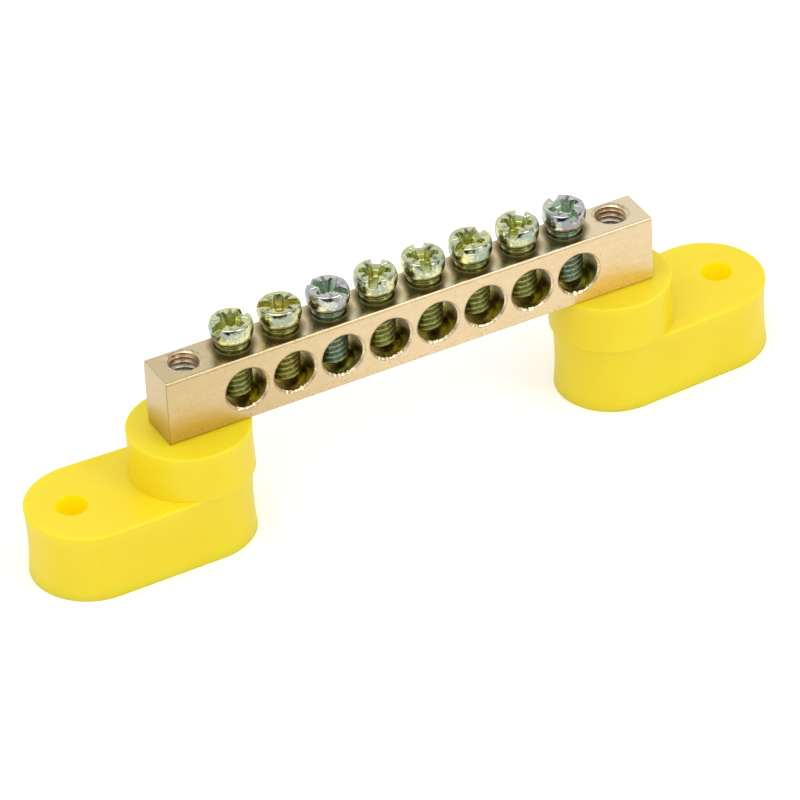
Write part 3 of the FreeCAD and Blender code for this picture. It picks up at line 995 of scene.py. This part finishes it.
@dataclass(frozen=True)
class BrightZinc:
    """Clear zinc plating on the hidden fixing screws.

    Attributes:
        pale: Colour of the plating.
        dull: Colour of its duller spots.
    """

    pale: tuple = display(204, 206, 208)
    dull: tuple = display(160, 164, 168)

    def material(self) -> bpy.types.Material:
        """Build the plating.

        Returns:
            The material.
        """
        tree = ShaderTree("bright_zinc")
        spot = tree.place()
        cloud, grain = tree.noise(spot, 0.8, 3.0), tree.noise(spot, 12.0, 2.0)
        turned = tree.noise(tree.stretch(spot, 0.3, 0.3, 9.0), 1.0, 2.0)
        colour = tree.coats(self.pale, (cloud.between(0.35, 0.7), self.dull))
        rough = 0.22 + grain * 0.1 + cloud * 0.06
        relief = tree.bump(turned * 0.6 + grain * 0.4, 0.008)
        return tree.surface(Base_Color=colour, Metallic=1.0, Roughness=rough, Normal=relief)


@dataclass(frozen=True)
class YellowMoulding:
    """Moulded yellow plastic, a little waxy and translucent.

    Attributes:
        bright: Colour of the moulding.
        deep: Colour of thick places.
        spread: How far light travels in it, in millimetres.
        glow: Painted light: a glow that stands in for light coming through thin walls.
        shine: Colour of that painted glow.
    """

    bright: tuple = display(249, 225, 36)
    deep: tuple = display(247, 217, 16)
    spread: float = 4.0
    glow: float = 0.0
    shine: tuple = display(255, 206, 0)

    def material(self) -> bpy.types.Material:
        """Build the plastic.

        Returns:
            The material.
        """
        tree = ShaderTree("yellow_moulding")
        spot = tree.place()
        flow, waxy = tree.noise(spot, 0.09, 2.0, 0.5, 0.4), tree.noise(spot, 0.5, 2.0)
        grain = tree.noise(spot, 7.0, 2.0, 0.6)
        return tree.surface(
            Base_Color=tree.coats(self.bright, (flow.between(0.3, 0.7) * 0.6, self.deep)),
            Roughness=0.33 + waxy * 0.10 + grain * 0.05,
            Normal=tree.bump(grain, 0.004, tree.bump(waxy, 0.02)),
            IOR=1.49,
            Subsurface_Weight=0.5,
            Subsurface_Radius=(1.0, 0.72, 0.08),
            Subsurface_Scale=self.spread * MM,
            # Painted light: an optional glow, used inside the foot holes.
            Emission_Color=self.shine,
            Emission_Strength=self.glow,
        )


@dataclass(frozen=True)
class ClampScrew:
    """One clamp screw: threaded shank, grooved neck, and a forged barrel head with a slot and a cross recess.

    Attributes:
        number: Place in the row, from 1.
        slot_turn: Turn of the driver slot in degrees.
        passivation: How its passivation turned out.
        shank_bottom: Height of the tip.
        shank_length: Length of the thread.
        head_top: Height of the head's top.
        slot_width: Width of the driver slot.
        slot_depth: Depth of the driver slot.
        recess_depth: Depth of the cross recess.
        mark_depth: Depth of the marks between its arms.
        mark_slope: Half the opening of a mark against its depth.
        seam: Height above the tip where the head starts, just below the end of the thread.
        grid: Step of the grid that the head is meshed on.
        outline: Heights above the tip and radii of the neck and the head.
    """

    number: int
    slot_turn: float
    passivation: Passivation
    shank_bottom: float = 24.0
    shank_length: float = 8.75
    head_top: float = 37.8
    slot_width: float = 1.40
    slot_depth: float = 1.40
    recess_depth: float = 2.5
    mark_depth: float = 0.80
    mark_slope: float = 0.62
    seam: float = 8.62
    grid: float = 0.10
    outline: tuple = (
        (8.40, 2.74), (8.92, 2.76), (9.04, 2.79), (9.40, 2.79), (9.51, 2.74), (9.60, 2.62), (9.68, 2.50),
        (9.78, 2.45), (9.88, 2.45), (9.97, 2.56), (10.07, 2.75), (10.22, 2.97), (10.48, 3.19), (10.82, 3.39),
        (11.2, 3.53), (11.6, 3.61), (12.0, 3.64), (12.5, 3.65), (12.75, 3.64), (12.9, 3.605), (13.1, 3.545),
        (13.3, 3.475), (13.5, 3.40), (13.7, 3.31), (13.85, 3.23), (14.4, 2.9),
    )

    @property
    def axis(self) -> tuple[float, float]:
        """Where the screw stands, in millimetres."""
        return THREAD_X + self.number * HOLE_PITCH, THREAD_Y

    def wobble(self, points: np.ndarray) -> np.ndarray:
        """The small unevenness of a forged head, different on each screw.

        Args:
            points: Rows of x, y and height.

        Returns:
            How far the surface is off at each point.
        """
        waves = np.zeros(len(points))
        source = np.random.default_rng(100 + self.number)
        for pitch, depth in ((3.1, 0.022), (1.6, 0.018), (0.8, 0.007)):
            for _wave in range(3):
                way = source.normal(size=3)
                way *= 2 * math.pi / pitch / np.linalg.norm(way)
                waves += depth * np.sin(points @ way + source.uniform(0, 6.28)) / 1.9
        return waves

    def recess(self, x: np.ndarray, y: np.ndarray, z: np.ndarray, top: float) -> np.ndarray:
        """The cross recess: four arms that narrow downwards round a broad deep middle.

        Args:
            x: Places along the slot.
            y: Places across the slot.
            z: Heights above the tip.
            top: Height of the head's top above the tip.

        Returns:
            The field of the hollow, below zero inside it.
        """
        share = np.clip((z - (top - self.recess_depth)) / self.recess_depth, -0.3, 1.2)
        half_width = 0.50 + 0.19 * share
        hollow = (np.hypot(x, y) - (1.05 + 0.72 * share)) * 0.95
        for along, beside, reach in ((x, y, 2.75), (y, x, 2.68)):
            arm = soft_max(np.abs(beside) - half_width, np.abs(along) - (1.35 + (reach - 1.35) * share), 0.35)
            hollow = soft_min(hollow, arm * 0.97, 0.30)
        return soft_max(hollow, top - self.recess_depth - z, 0.35)

    def marks(self, x: np.ndarray, y: np.ndarray, z: np.ndarray, top: float) -> np.ndarray:
        """The short V-shaped marks struck into the lands, halfway between the arms.

        Args:
            x: Places along the slot.
            y: Places across the slot.
            z: Heights above the tip.
            top: Height of the head's top above the tip.

        Returns:
            The field of the hollows, below zero inside them.
        """
        slant, side = (x + y) / math.sqrt(2), (x - y) / math.sqrt(2)
        grooves = []
        for along, beside in ((slant, side), (side, slant)):
            reach = np.abs(along)
            bed = top - self.mark_depth + 0.20 * np.clip(reach - 1.2, 0, 3)
            groove = (np.abs(beside) - self.mark_slope * (z - bed)) / math.hypot(1, self.mark_slope)
            grooves.append(soft_max(groove, reach - 2.88, 0.08))
        return np.minimum(*grooves)

    def distance(self, points: np.ndarray) -> np.ndarray:
        """How far points are outside the head; the slot lies along X and heights count from the tip.

        Args:
            points: Rows of x, y and height.

        Returns:
            The field, below zero inside.
        """
        x, y, z = points.T
        across = np.hypot(x, y)
        heights, radii = np.array(self.outline).T
        radius = np.interp(z, heights, radii)
        lean = (np.interp(z + 0.08, heights, radii) - np.interp(z - 0.08, heights, radii)) / 0.16
        barrel = (across - radius) / np.sqrt(1 + lean ** 2)
        top = self.head_top - self.shank_bottom
        crown = top - 0.05 * (across / 3.3) ** 2 - 0.035
        head = np.maximum(soft_max(barrel, z - crown, 0.28), self.seam - z)
        wall = np.abs(y) - self.slot_width / 2 - 0.10 * (z - top + self.slot_depth)
        slot = soft_max(wall, top - self.slot_depth - z, 0.45)
        opened = soft_min(soft_min(slot, self.recess(x, y, z, top), 0.2), self.marks(x, y, z, top), 0.04)
        return soft_max(head, -opened, 0.14) + self.wobble(points) * np.clip((z - 9.9) / 0.6, 0, 1)

    def build(self) -> bpy.types.Object:
        """Build the screw, in place and turned as it was left.

        Returns:
            The finished piece.
        """
        head = FieldMesher(self.grid).mesh(self.distance, (-3.85, -3.85, 8.3), (3.85, 3.85, 14.1))
        thread_top = self.shank_bottom + self.shank_length
        shank = Helix(SCREW_CREST, SCREW_ROOT).shell(self.shank_bottom, thread_top, 0.7, 2.25, shaded=True)
        screw = head.moved(*self.axis, self.shank_bottom, self.slot_turn) + shank.moved(*self.axis, 0.0)
        return screw.to_object(f"screw_{self.number}")

    def dress(self, piece: bpy.types.Object) -> None:
        """Plate the screw and let it ride on its own body.

        Args:
            piece: The screw.
        """
        coat(piece, PassivatedZinc(self.passivation, float(self.number)).material(*self.axis, self.head_top))
        node = f"clamp_screw_{self.number}"
        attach(piece, node)
        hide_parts(node)


@dataclass(frozen=True)
class TerminalBar:
    """The brass bar with its wire bores, clamp holes and tapped end holes.

    Attributes:
        left: Its left end.
        right: Its right end.
        middle: Middle of its depth.
        depth: Front to back.
        edge: Rounding of its long edges.
        bore: Radius of a wire bore.
        bore_flare: Chamfer of the wire bores.
        burr: How far the torn mouth of a bore stands out.
        clamp_hole: Radius of a clamp screw's hole.
        mouth_outline: The upper mouth of an end hole, as radii and heights.
        foot_outline: The lower mouth of an end hole, as radii and heights.
    """

    left: float = BAR_LEFT
    right: float = 105.1408
    middle: float = -0.3741
    depth: float = 8.0
    edge: float = 0.32
    bore: float = 3.64
    bore_flare: float = 0.28
    burr: float = 0.26
    clamp_hole: float = 2.95
    mouth_outline: tuple = (
        (0, BAR_TOP - 0.36), (2.46, BAR_TOP - 0.36), (2.78, BAR_TOP - 0.09), (3.20, BAR_TOP), (3.20, BAR_TOP + 1),
        (0, BAR_TOP + 1),
    )
    foot_outline: tuple = (
        (0, BAR_SEAT - 1), (4.1, BAR_SEAT - 1), (3.1, BAR_SEAT), (2.45, BAR_SEAT + 0.6), (0, BAR_SEAT + 0.6),
    )

    def stock(self) -> Shell:
        """The drawn stock with rounded long edges and a fine break at the ends.

        Returns:
            The stock, in place.
        """
        half = self.depth / 2
        section = []
        for y, z, start in ((half, BAR_TOP, 0), (-half, BAR_TOP, 90), (-half, BAR_SEAT, 180), (half, BAR_SEAT, 270)):
            centre_y = self.middle + y - math.copysign(self.edge, y)
            centre_z = z - self.edge if z == BAR_TOP else z + self.edge
            for step in range(6):
                angle = math.radians(start + 90 * step / 5)
                section.append((centre_y + self.edge * math.cos(angle), centre_z + self.edge * math.sin(angle)))
        ring = np.array(section)
        core = np.array([self.middle, (BAR_SEAT + BAR_TOP) / 2])
        reach = np.array([half, (BAR_TOP - BAR_SEAT) / 2])
        end_break = ((0.0, 0.07), (0.03, 0.02), (0.08, 0.0))
        rows = []
        for end, way, steps in ((self.left, 1, end_break), (self.right, -1, end_break[::-1])):
            for inset, shrink in steps:
                loop = core + (ring - core) * (1 - shrink / reach)
                rows.append(np.column_stack([np.full(len(ring), end + way * inset), loop]))
        return skin(rows)

    def wire_bore(self, number: int) -> Shell:
        """The cutter of one wire bore, its mouth left ragged where the drill broke through.

        Args:
            number: Place in the row, from 1.

        Returns:
            The cutter, in place.
        """
        half, mouth = self.depth / 2, self.bore + self.bore_flare + 1
        straight = half - self.bore_flare
        outline = [(0.0, -half - 1), (mouth, -half - 1), (self.bore, -straight)]
        outline += [(self.bore, straight), (mouth, half + 1), (0.0, half + 1)]
        cutter = lathe(outline, FINE, along_y=True)
        source = np.random.default_rng(40 + number)
        ring = slice(1 + FINE, 1 + 2 * FINE)
        angle = np.arctan2(cutter.points[ring, 2], cutter.points[ring, 0])
        lower = np.clip((-np.sin(angle + 0.15) - 0.72) / 0.2, 0, 1)
        torn = np.repeat(np.clip(source.normal(0.1, 0.8, FINE // 2), -0.5, 1.3), 2)
        cutter.points[ring, 1] += lower * torn * self.burr
        return cutter.moved(THREAD_X + number * HOLE_PITCH, self.middle, BORE_HEIGHT)

    def build(self) -> bpy.types.Object:
        """Build the bar.

        Returns:
            The finished piece.
        """
        bar = self.stock().to_object("bar")
        bores = [self.wire_bore(number) for number in range(1, BORE_COUNT + 1)]
        cut(bar, sum(bores[1:], bores[0]))
        hole = lathe([
            (0, BORE_HEIGHT), (self.clamp_hole, BORE_HEIGHT), (self.clamp_hole, BAR_TOP - 0.02),
            (self.clamp_hole + 1.02, BAR_TOP + 1), (0, BAR_TOP + 1),
        ], MEDIUM)
        holes = [hole.moved(THREAD_X + number * HOLE_PITCH, THREAD_Y, 0) for number in range(1, BORE_COUNT + 1)]
        cut(bar, sum(holes[1:], holes[0]))
        mouth, foot = lathe(self.mouth_outline, MEDIUM), lathe(self.foot_outline, MEDIUM)
        for end in (THREAD_X, THREAD_X + (BORE_COUNT + 1) * HOLE_PITCH):
            thread = Helix(TAPPED_CREST, TAPPED_ROOT).shell(BAR_SEAT - 1, BAR_TOP + 1)
            for tool in (thread, mouth, foot):
                cut(bar, tool.moved(end, THREAD_Y, 0))
        crisp(bar, 30)
        return bar

    def finish_at(self, x: float, y: float, z: float) -> int:
        """Which finish a face has: 0 drawn, 1 drilled or tapped, 2 a fresh cut edge.

        Args:
            x: Middle of the face along the bar.
            y: Middle of the face, front to back.
            z: Height of its middle.

        Returns:
            The number of the finish.
        """
        step = round((x - THREAD_X) / HOLE_PITCH)
        along = x - THREAD_X - step * HOLE_PITCH
        off_bore, off_screw = math.hypot(along, z - BORE_HEIGHT), math.hypot(along, y - THREAD_Y)
        depth_in = self.depth / 2 - abs(y - self.middle)
        if depth_in < 0.02 or z > BAR_TOP - 0.004:
            return 0
        if 1 <= step <= BORE_COUNT:
            if depth_in < 0.6 and self.bore + 0.02 < off_bore < self.bore + self.bore_flare + 0.05:
                return 2
            if off_bore < self.bore + 0.03:
                return 1
        elif off_screw < 2.56:
            return 2
        elif z > BAR_TOP - 0.3:
            return 2 if off_screw > 2.7 else 0
        return int(off_screw < 3.05 and BAR_SEAT + 0.1 < z < BAR_TOP - 0.1)

    def dress(self, piece: bpy.types.Object) -> None:
        """Give the drawn faces, the drilled walls and the bores' edges their own brass.

        Args:
            piece: The bar.
        """
        coat(piece, DrawnBrass().material(), DrilledBrass().material(), CutEdge().material())
        for polygon in piece.data.polygons:
            polygon.material_index = self.finish_at(*(polygon.center / MM))
        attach(piece, "bar_on_insulators")
        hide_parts("busbar")


@dataclass(frozen=True)
class Insulator:
    """One moulded insulator: a base with hollow sides, a foot hole and a round boss.

    Attributes:
        name: Name of the solid that it stands for.
        boss_x: Boss axis along the bar.
        boss_y: Boss axis, front to back.
        turn: Turn of the foot about that axis in degrees.
        reach: Boss axis to the centre of the foot's round end.
        hole_reach: Boss axis to the foot hole.
        hole_radius: Radius of the foot hole.
        foot_radius: Radius of the foot's round end.
        inner_radius: Radius of the end under the boss.
        height: Height of the base.
        sink: How far the side walls hollow in.
        rim: Rounding of the base's upper rim.
        boss_radius: Radius of the boss at its foot.
        boss_top_radius: Radius of the boss at its top.
        boss_rim: Rounding of the boss's upper rim.
        boss_sink: How far the boss's wall hollows in.
        passage_outline: The counterbore and the passage of the fixing screw, as radii and heights.
    """

    name: str
    boss_x: float
    boss_y: float
    turn: float
    reach: float = 18.7
    hole_reach: float = 21.4
    hole_radius: float = 2.65
    foot_radius: float = 10.393
    inner_radius: float = 9.95
    height: float = 12.6
    sink: float = 0.34
    rim: float = 0.42
    boss_radius: float = 10.397
    boss_top_radius: float = 10.25
    boss_rim: float = 0.34
    boss_sink: float = 0.12
    passage_outline: tuple = ((0, -1), (5.7, -1), (5.7, 11.4), (3.5, 11.4), (3.5, BAR_SEAT + 1), (0, BAR_SEAT + 1))

    def base(self) -> Shell:
        """The base: its outline pulled in a little at half height, with a rounded upper rim.

        Returns:
            The base, its boss axis on the Z axis.
        """
        lean = math.asin((self.foot_radius - self.inner_radius) / self.reach)
        side, steps = math.pi / 2 + lean, COARSE + 1
        angles = np.concatenate([np.linspace(-side, side, steps), np.linspace(side, 2 * math.pi - side, steps)])
        ways = np.column_stack([np.cos(angles), np.sin(angles)])
        centres = np.column_stack([np.repeat([self.reach, 0.0], steps), np.zeros(2 * steps)])
        radii = np.repeat([self.foot_radius, self.inner_radius], steps)
        wall_top = self.height - self.rim
        levels = [(-0.12, 0.0), (-0.03, 0.08)]
        for share in np.linspace(0.02, 1.0, 15):
            levels.append((-self.sink * (1 - (2 * share - 1) ** 2) ** 0.85, share * wall_top))
        for turned_in, risen in quarter(7):
            levels.append((-self.rim * turned_in, wall_top + self.rim * risen))
        rows = []
        for inset, level in levels:
            ring = centres + ways * (radii + inset)[:, None]
            rows.append(np.column_stack([ring, np.full(len(ring), level)]))
        return skin(rows)

    def boss(self) -> Shell:
        """The round boss with a rounded upper rim, its foot sunk into the base.

        Returns:
            The boss on the Z axis.
        """
        outline = [(0.0, self.height - 0.3), (self.boss_radius - 0.12, self.height - 0.3)]
        outline.append((self.boss_radius, self.height - 0.18))
        wall_top = BAR_SEAT - self.boss_rim
        for share in np.linspace(0.0, 1.0, 9):
            radius = self.boss_radius + (self.boss_top_radius - self.boss_radius) * share
            level = self.height + (wall_top - self.height) * share
            outline.append((radius - self.boss_sink * (1 - (2 * share - 1) ** 2), level))
        for turned_in, risen in quarter(6):
            outline.append((self.boss_top_radius - self.boss_rim * turned_in, wall_top + self.boss_rim * risen))
        outline.append((0.0, BAR_SEAT))
        return lathe(outline, FINE)

    def foot_hole(self) -> Shell:
        """The foot hole, its upper edge just taken off.

        Returns:
            The cutter, its boss axis on the Z axis.
        """
        radius, mouth = self.hole_radius, self.hole_radius + 0.12
        outline = [(0, -1), (radius, -1), (radius, self.height - 0.12), (radius + 0.04, self.height - 0.04)]
        outline += [(mouth, self.height), (mouth, self.height + 1), (0, self.height + 1)]
        return lathe(outline, COARSE).moved(self.hole_reach, 0, 0)

    def build(self) -> bpy.types.Object:
        """Build the insulator in place.

        Returns:
            The finished piece.
        """
        piece = self.base().moved(self.boss_x, self.boss_y, 0, self.turn).to_object(self.name + "_moulding")
        cut(piece, self.boss().moved(self.boss_x, self.boss_y, 0), join=True)
        cut(piece, lathe(self.passage_outline, COARSE).moved(self.boss_x, self.boss_y, 0))
        cut(piece, self.foot_hole().moved(self.boss_x, self.boss_y, 0, self.turn))
        crisp(piece, 32)
        return piece

    def dress(self, piece: bpy.types.Object, plastic: bpy.types.Material, lit: bpy.types.Material) -> None:
        """Give the moulding its plastic.

        Args:
            piece: The moulding.
            plastic: The yellow plastic that both insulators share.
            lit: The same plastic inside the foot hole, with a painted glow for light coming through it.
        """
        coat(piece, plastic, lit)
        turn = math.radians(self.turn)
        hole_x = self.boss_x + self.hole_reach * math.cos(turn)
        hole_y = self.boss_y + self.hole_reach * math.sin(turn)
        for polygon in piece.data.polygons:
            x, y, z = polygon.center / MM
            near = math.hypot(x - hole_x, y - hole_y) < self.hole_radius + 0.07
            polygon.material_index = int(near and 0.05 < z < self.height - 0.05)
        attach(piece, "bar_on_insulators")
        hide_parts(self.name)


@dataclass(frozen=True)
class FixingScrew:
    """The hidden cheese-head screw that draws the bar down on an insulator from below.

    Attributes:
        name: Name of the solid that it stands for.
        x: Axis along the bar.
        head_bottom: Height of the head's face.
        head_height: Height of the head.
        head_radius: Radius of the head.
        edge: Rounding of the head's edge.
        slot_width: Width of the driver slot.
        slot_depth: Depth of the driver slot.
        tip: Height of the tip.
    """

    name: str
    x: float
    head_bottom: float = 7.5
    head_height: float = 3.9
    head_radius: float = 5.0
    edge: float = 0.35
    slot_width: float = 1.6
    slot_depth: float = 1.8
    tip: float = 27.4

    def build(self) -> bpy.types.Object:
        """Build the screw in place.

        Returns:
            The finished piece.
        """
        low, high = self.head_bottom, self.head_bottom + self.head_height
        flat = self.head_radius - self.edge
        outline = [(0.0, low), (flat, low)]
        for risen, turned_out in quarter(5):
            outline.append((flat + self.edge * turned_out, low + self.edge * risen))
        outline += [(self.head_radius, high - 0.06), (self.head_radius - 0.06, high), (2.6, high), (2.45, high + 0.4)]
        outline += [(2.45, high + 0.8), (0.0, high + 0.8)]
        piece = lathe(outline, MEDIUM).moved(self.x, THREAD_Y, 0).to_object(self.name + "_piece")
        reach, half = self.head_radius + 1, self.slot_width / 2
        corners = ((-reach, -half), (reach, -half), (reach, half), (-reach, half))
        slot = skin([np.array([(x, y, z) for x, y in corners]) for z in (low - 1, low + self.slot_depth)])
        cut(piece, slot.moved(self.x, THREAD_Y, 0))
        thread = Helix(SCREW_CREST, SCREW_ROOT).shell(high + 0.6, self.tip)
        cut(piece, thread.moved(self.x, THREAD_Y, 0), join=True)
        crisp(piece, 35)
        return piece

    def dress(self, piece: bpy.types.Object, plating: bpy.types.Material) -> None:
        """Plate the screw.

        Args:
            piece: The screw.
            plating: The plating that both fixing screws share.
        """
        coat(piece, plating)
        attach(piece, "bar_on_insulators")
        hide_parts(self.name)


@dataclass(frozen=True)
class Studio:
    """The floor, the soft light and the camera.

    Attributes:
        azimuth: Camera's turn round the object in degrees, 0 looking along +Y.
        elevation: Camera's height above the horizon in degrees.
        roll: Camera's roll in degrees.
        distance: Camera to target in millimetres.
        lens: Focal length on a 36 mm sensor.
        target: The point that it looks at.
        floor_level: Height of the floor, just below the feet.
        floor_size: Side of the floor.
        floor_shade: How pale the floor is.
        floor_glow: How much brighter the floor looks than it is lit.
        seen_glow: The same again, for the camera alone.
        sky_light: How bright the surroundings are as a light.
        lamp_distance: How far away each lamp hangs, in metres.
        lamp_target: The point that the lamps face, in metres.
        flag_target: The point that the dark cards face.
        lamps: Each lamp's name, turn, height in degrees, side in metres and power in watts.
        flags: Each dark card's name, turn, height in degrees, distance, width, height in millimetres and shade.
    """

    azimuth: float = -26.1367
    elevation: float = 35.8228
    roll: float = -3.2863
    distance: float = 1043.384
    lens: float = 287.05
    target: tuple = (59.35, -0.3741, 11.0235)
    floor_level: float = -0.02
    floor_size: float = 12000.0
    floor_shade: float = 0.86
    floor_glow: float = 0.18
    seen_glow: float = 0.12
    sky_light: float = 0.96
    lamp_distance: float = 1.2
    lamp_target: tuple = (0.06, 0.0, 0.015)
    flag_target: tuple = (60.0, 0.0, 25.0)
    lamps: tuple = (("key", -60.0, 62.0, 0.9, 3.4), ("edge_light", 31.4, 46.6, 0.42, 2.5))
    flags: tuple = (
        ("front_flag", -26.1367, 10.5, 800.0, 960.0, 370.0, 0.01),
        ("back_flag", 154.0, 68.0, 900.0, 1200.0, 440.0, 0.30),
        ("left_flag", -112.0, 12.0, 700.0, 260.0, 420.0, 0.06),
        ("right_flag", 62.0, 12.0, 700.0, 260.0, 420.0, 0.06),
    )

    @staticmethod
    def ways(azimuth: float, elevation: float) -> tuple[Vector, Vector, Vector]:
        """The directions of something that stands round the object and faces it.

        Args:
            azimuth: Its turn round the object in degrees, 0 in front.
            elevation: Its height above the horizon in degrees.

        Returns:
            Its right, its up, and away from the object.
        """
        turn, rise = math.radians(azimuth), math.radians(elevation)
        away = Vector((math.sin(turn) * math.cos(rise), -math.cos(turn) * math.cos(rise), math.sin(rise)))
        right = Vector((math.cos(turn), math.sin(turn), 0.0))
        return right, away.cross(right), away

    @staticmethod
    def sheet(name: str, middle: Vector, across: Vector, along: Vector) -> bpy.types.Object:
        """A flat four-cornered sheet.

        Args:
            name: Name of the object.
            middle: Its middle in millimetres.
            across: From the middle to one side.
            along: From the middle to the next side.

        Returns:
            The sheet.
        """
        corners = [middle + across * x + along * y for x, y in ((-1, -1), (1, -1), (1, 1), (-1, 1))]
        return Shell(np.array([tuple(corner) for corner in corners]), [(0, 1, 2, 3)]).to_object(name)

    def add_camera(self) -> None:
        """Set up the camera at the viewing angle."""
        right, up, away = self.ways(self.azimuth, self.elevation)
        cos, sin = math.cos(math.radians(self.roll)), math.sin(math.radians(self.roll))
        data = bpy.data.cameras.new("camera")
        data.lens = self.lens
        data.sensor_fit = "HORIZONTAL"
        data.sensor_width = 36.0
        data.clip_start, data.clip_end = 0.01, 20.0
        camera = bpy.data.objects.new("camera", data)
        turn = Matrix((right * cos + up * sin, up * cos - right * sin, away)).transposed().to_4x4()
        camera.matrix_world = Matrix.Translation((Vector(self.target) + away * self.distance) * MM) @ turn
        bpy.context.scene.collection.objects.link(camera)
        bpy.context.scene.camera = camera

    def seen(self, tree: ShaderTree) -> Signal:
        """A signal of 1 for what the camera and polished or clear things see, and 0 for light that falls on things."""
        path = tree.add("ShaderNodeLightPath", output="Is Camera Ray")
        return path.most(path.beside("Is Glossy Ray")).most(path.beside("Is Transmission Ray"))

    def add_floor(self) -> None:
        """Lay the pale floor, which keeps the shadow and shows white elsewhere."""
        half = self.floor_size / 2
        middle = Vector((0.0, 0.0, self.floor_level))
        floor = self.sheet("floor", middle, Vector((half, 0.0, 0.0)), Vector((0.0, half, 0.0)))
        tree = ShaderTree("pale_floor")
        shade = (self.floor_shade, self.floor_shade, self.floor_shade, 1)
        body = tree.add("ShaderNodeBsdfDiffuse", None, {"Color": shade, "Roughness": 0.0})
        path = tree.add("ShaderNodeLightPath", output="Is Camera Ray")
        strength = self.seen(tree) * self.floor_glow + path * self.seen_glow
        glow = tree.add("ShaderNodeEmission", None, {"Strength": strength})
        tree.add_output(tree.add("ShaderNodeAddShader", None, {0: body, 1: glow}))
        coat(floor, tree.material)

    def add_world(self) -> None:
        """A plain white surrounding, softer as a light than it looks."""
        tree = ShaderTree("soft_room", surroundings=True)
        level = self.sky_light + self.seen(tree) * (1.0 - self.sky_light)
        tree.add_output(tree.add("ShaderNodeBackground", None, {"Strength": level}))
        bpy.context.scene.world = tree.material

    def add_lamp(self, name: str, azimuth: float, elevation: float, size: float, power: float) -> None:
        """Hang one large soft lamp that faces the object.

        Args:
            name: Name of the lamp.
            azimuth: Its turn round the object in degrees.
            elevation: Its height above the horizon in degrees.
            size: Side of the square in metres.
            power: Power in watts.
        """
        data = bpy.data.lights.new(name, "AREA")
        data.shape = "SQUARE"
        data.size = size
        data.energy = power
        lamp = bpy.data.objects.new(name, data)
        away = self.ways(azimuth, elevation)[2]
        lamp.location = Vector(self.lamp_target) + away * self.lamp_distance
        lamp.rotation_euler = away.to_track_quat("Z", "Y").to_euler()
        bpy.context.scene.collection.objects.link(lamp)

    def add_flag(
        self, name: str, azimuth: float, elevation: float, distance: float, width: float, height: float, shade: float,
    ) -> None:
        """Stand a dark card beside the set, which only polished metal sees.

        Args:
            name: Name of the card.
            azimuth: Its turn round the object in degrees.
            elevation: Its height above the horizon in degrees.
            distance: How far away it stands, in millimetres.
            width: Its width in millimetres.
            height: Its height in millimetres.
            shade: How bright it looks, 0 black.
        """
        right, up, away = self.ways(azimuth, elevation)
        middle = Vector(self.flag_target) + away * distance
        flag = self.sheet(name, middle, right * (width / 2), up * (height / 2))
        tree = ShaderTree(name + "_card")
        tree.add_output(tree.add("ShaderNodeEmission", None, {"Color": (shade, shade, shade, 1), "Strength": 1.0}))
        coat(flag, tree.material)
        for ray in ("camera", "diffuse", "shadow", "transmission", "volume_scatter"):
            setattr(flag, "visible_" + ray, False)

    def build(self) -> None:
        """Set up the whole studio."""
        self.add_camera()
        self.add_floor()
        self.add_world()
        for lamp in self.lamps:
            self.add_lamp(*lamp)
        for flag in self.flags:
            self.add_flag(*flag)
        bpy.context.scene.view_settings.view_transform = "Standard"


def report(piece: bpy.types.Object) -> None:
    """Log one finished piece."""
    LOG.info("built %s, %d faces", piece.name, len(piece.data.polygons))


def main() -> None:
    """Build every sub-assembly in order, dress it and report it."""
    logging.basicConfig(level=logging.INFO, format="%(name)s: %(message)s")
    Studio().build()

    bar = TerminalBar()
    piece = bar.build()
    bar.dress(piece)
    report(piece)

    plastic = YellowMoulding().material()
    # Painted light: the plastic inside the foot holes, laid more saturated and given a glow for light through the
    # walls.
    lit = YellowMoulding(display(255, 222, 6), display(255, 216, 3), 14.0, 0.21).material()
    for insulator in (
        Insulator("left_insulator", 21.3984, -0.2614, 179.3),
        Insulator("right_insulator", 99.4517, 0.2799, 4.9),
    ):
        piece = insulator.build()
        insulator.dress(piece, plastic, lit)
        report(piece)

    plating = BrightZinc().material()
    for name, hole in (("left_fixing_screw", 0), ("right_fixing_screw", BORE_COUNT + 1)):
        screw = FixingScrew(name, THREAD_X + hole * HOLE_PITCH)
        piece = screw.build()
        screw.dress(piece, plating)
        report(piece)

    green, blue, olive = Passivation.YELLOW_GREEN, Passivation.BLUE_GREEN, Passivation.OLIVE
    clamps = (
        (20.5, green), (156.8, olive), (123.7, blue), (58.0, green), (72.7, green), (31.2, green), (50.6, green),
        (90.6, blue),
    )
    for number, (turn, kind) in enumerate(clamps, start=1):
        clamp = ClampScrew(number, turn, kind)
        piece = clamp.build()
        clamp.dress(piece)
        report(piece)


if __name__ == "__main__":
    main()
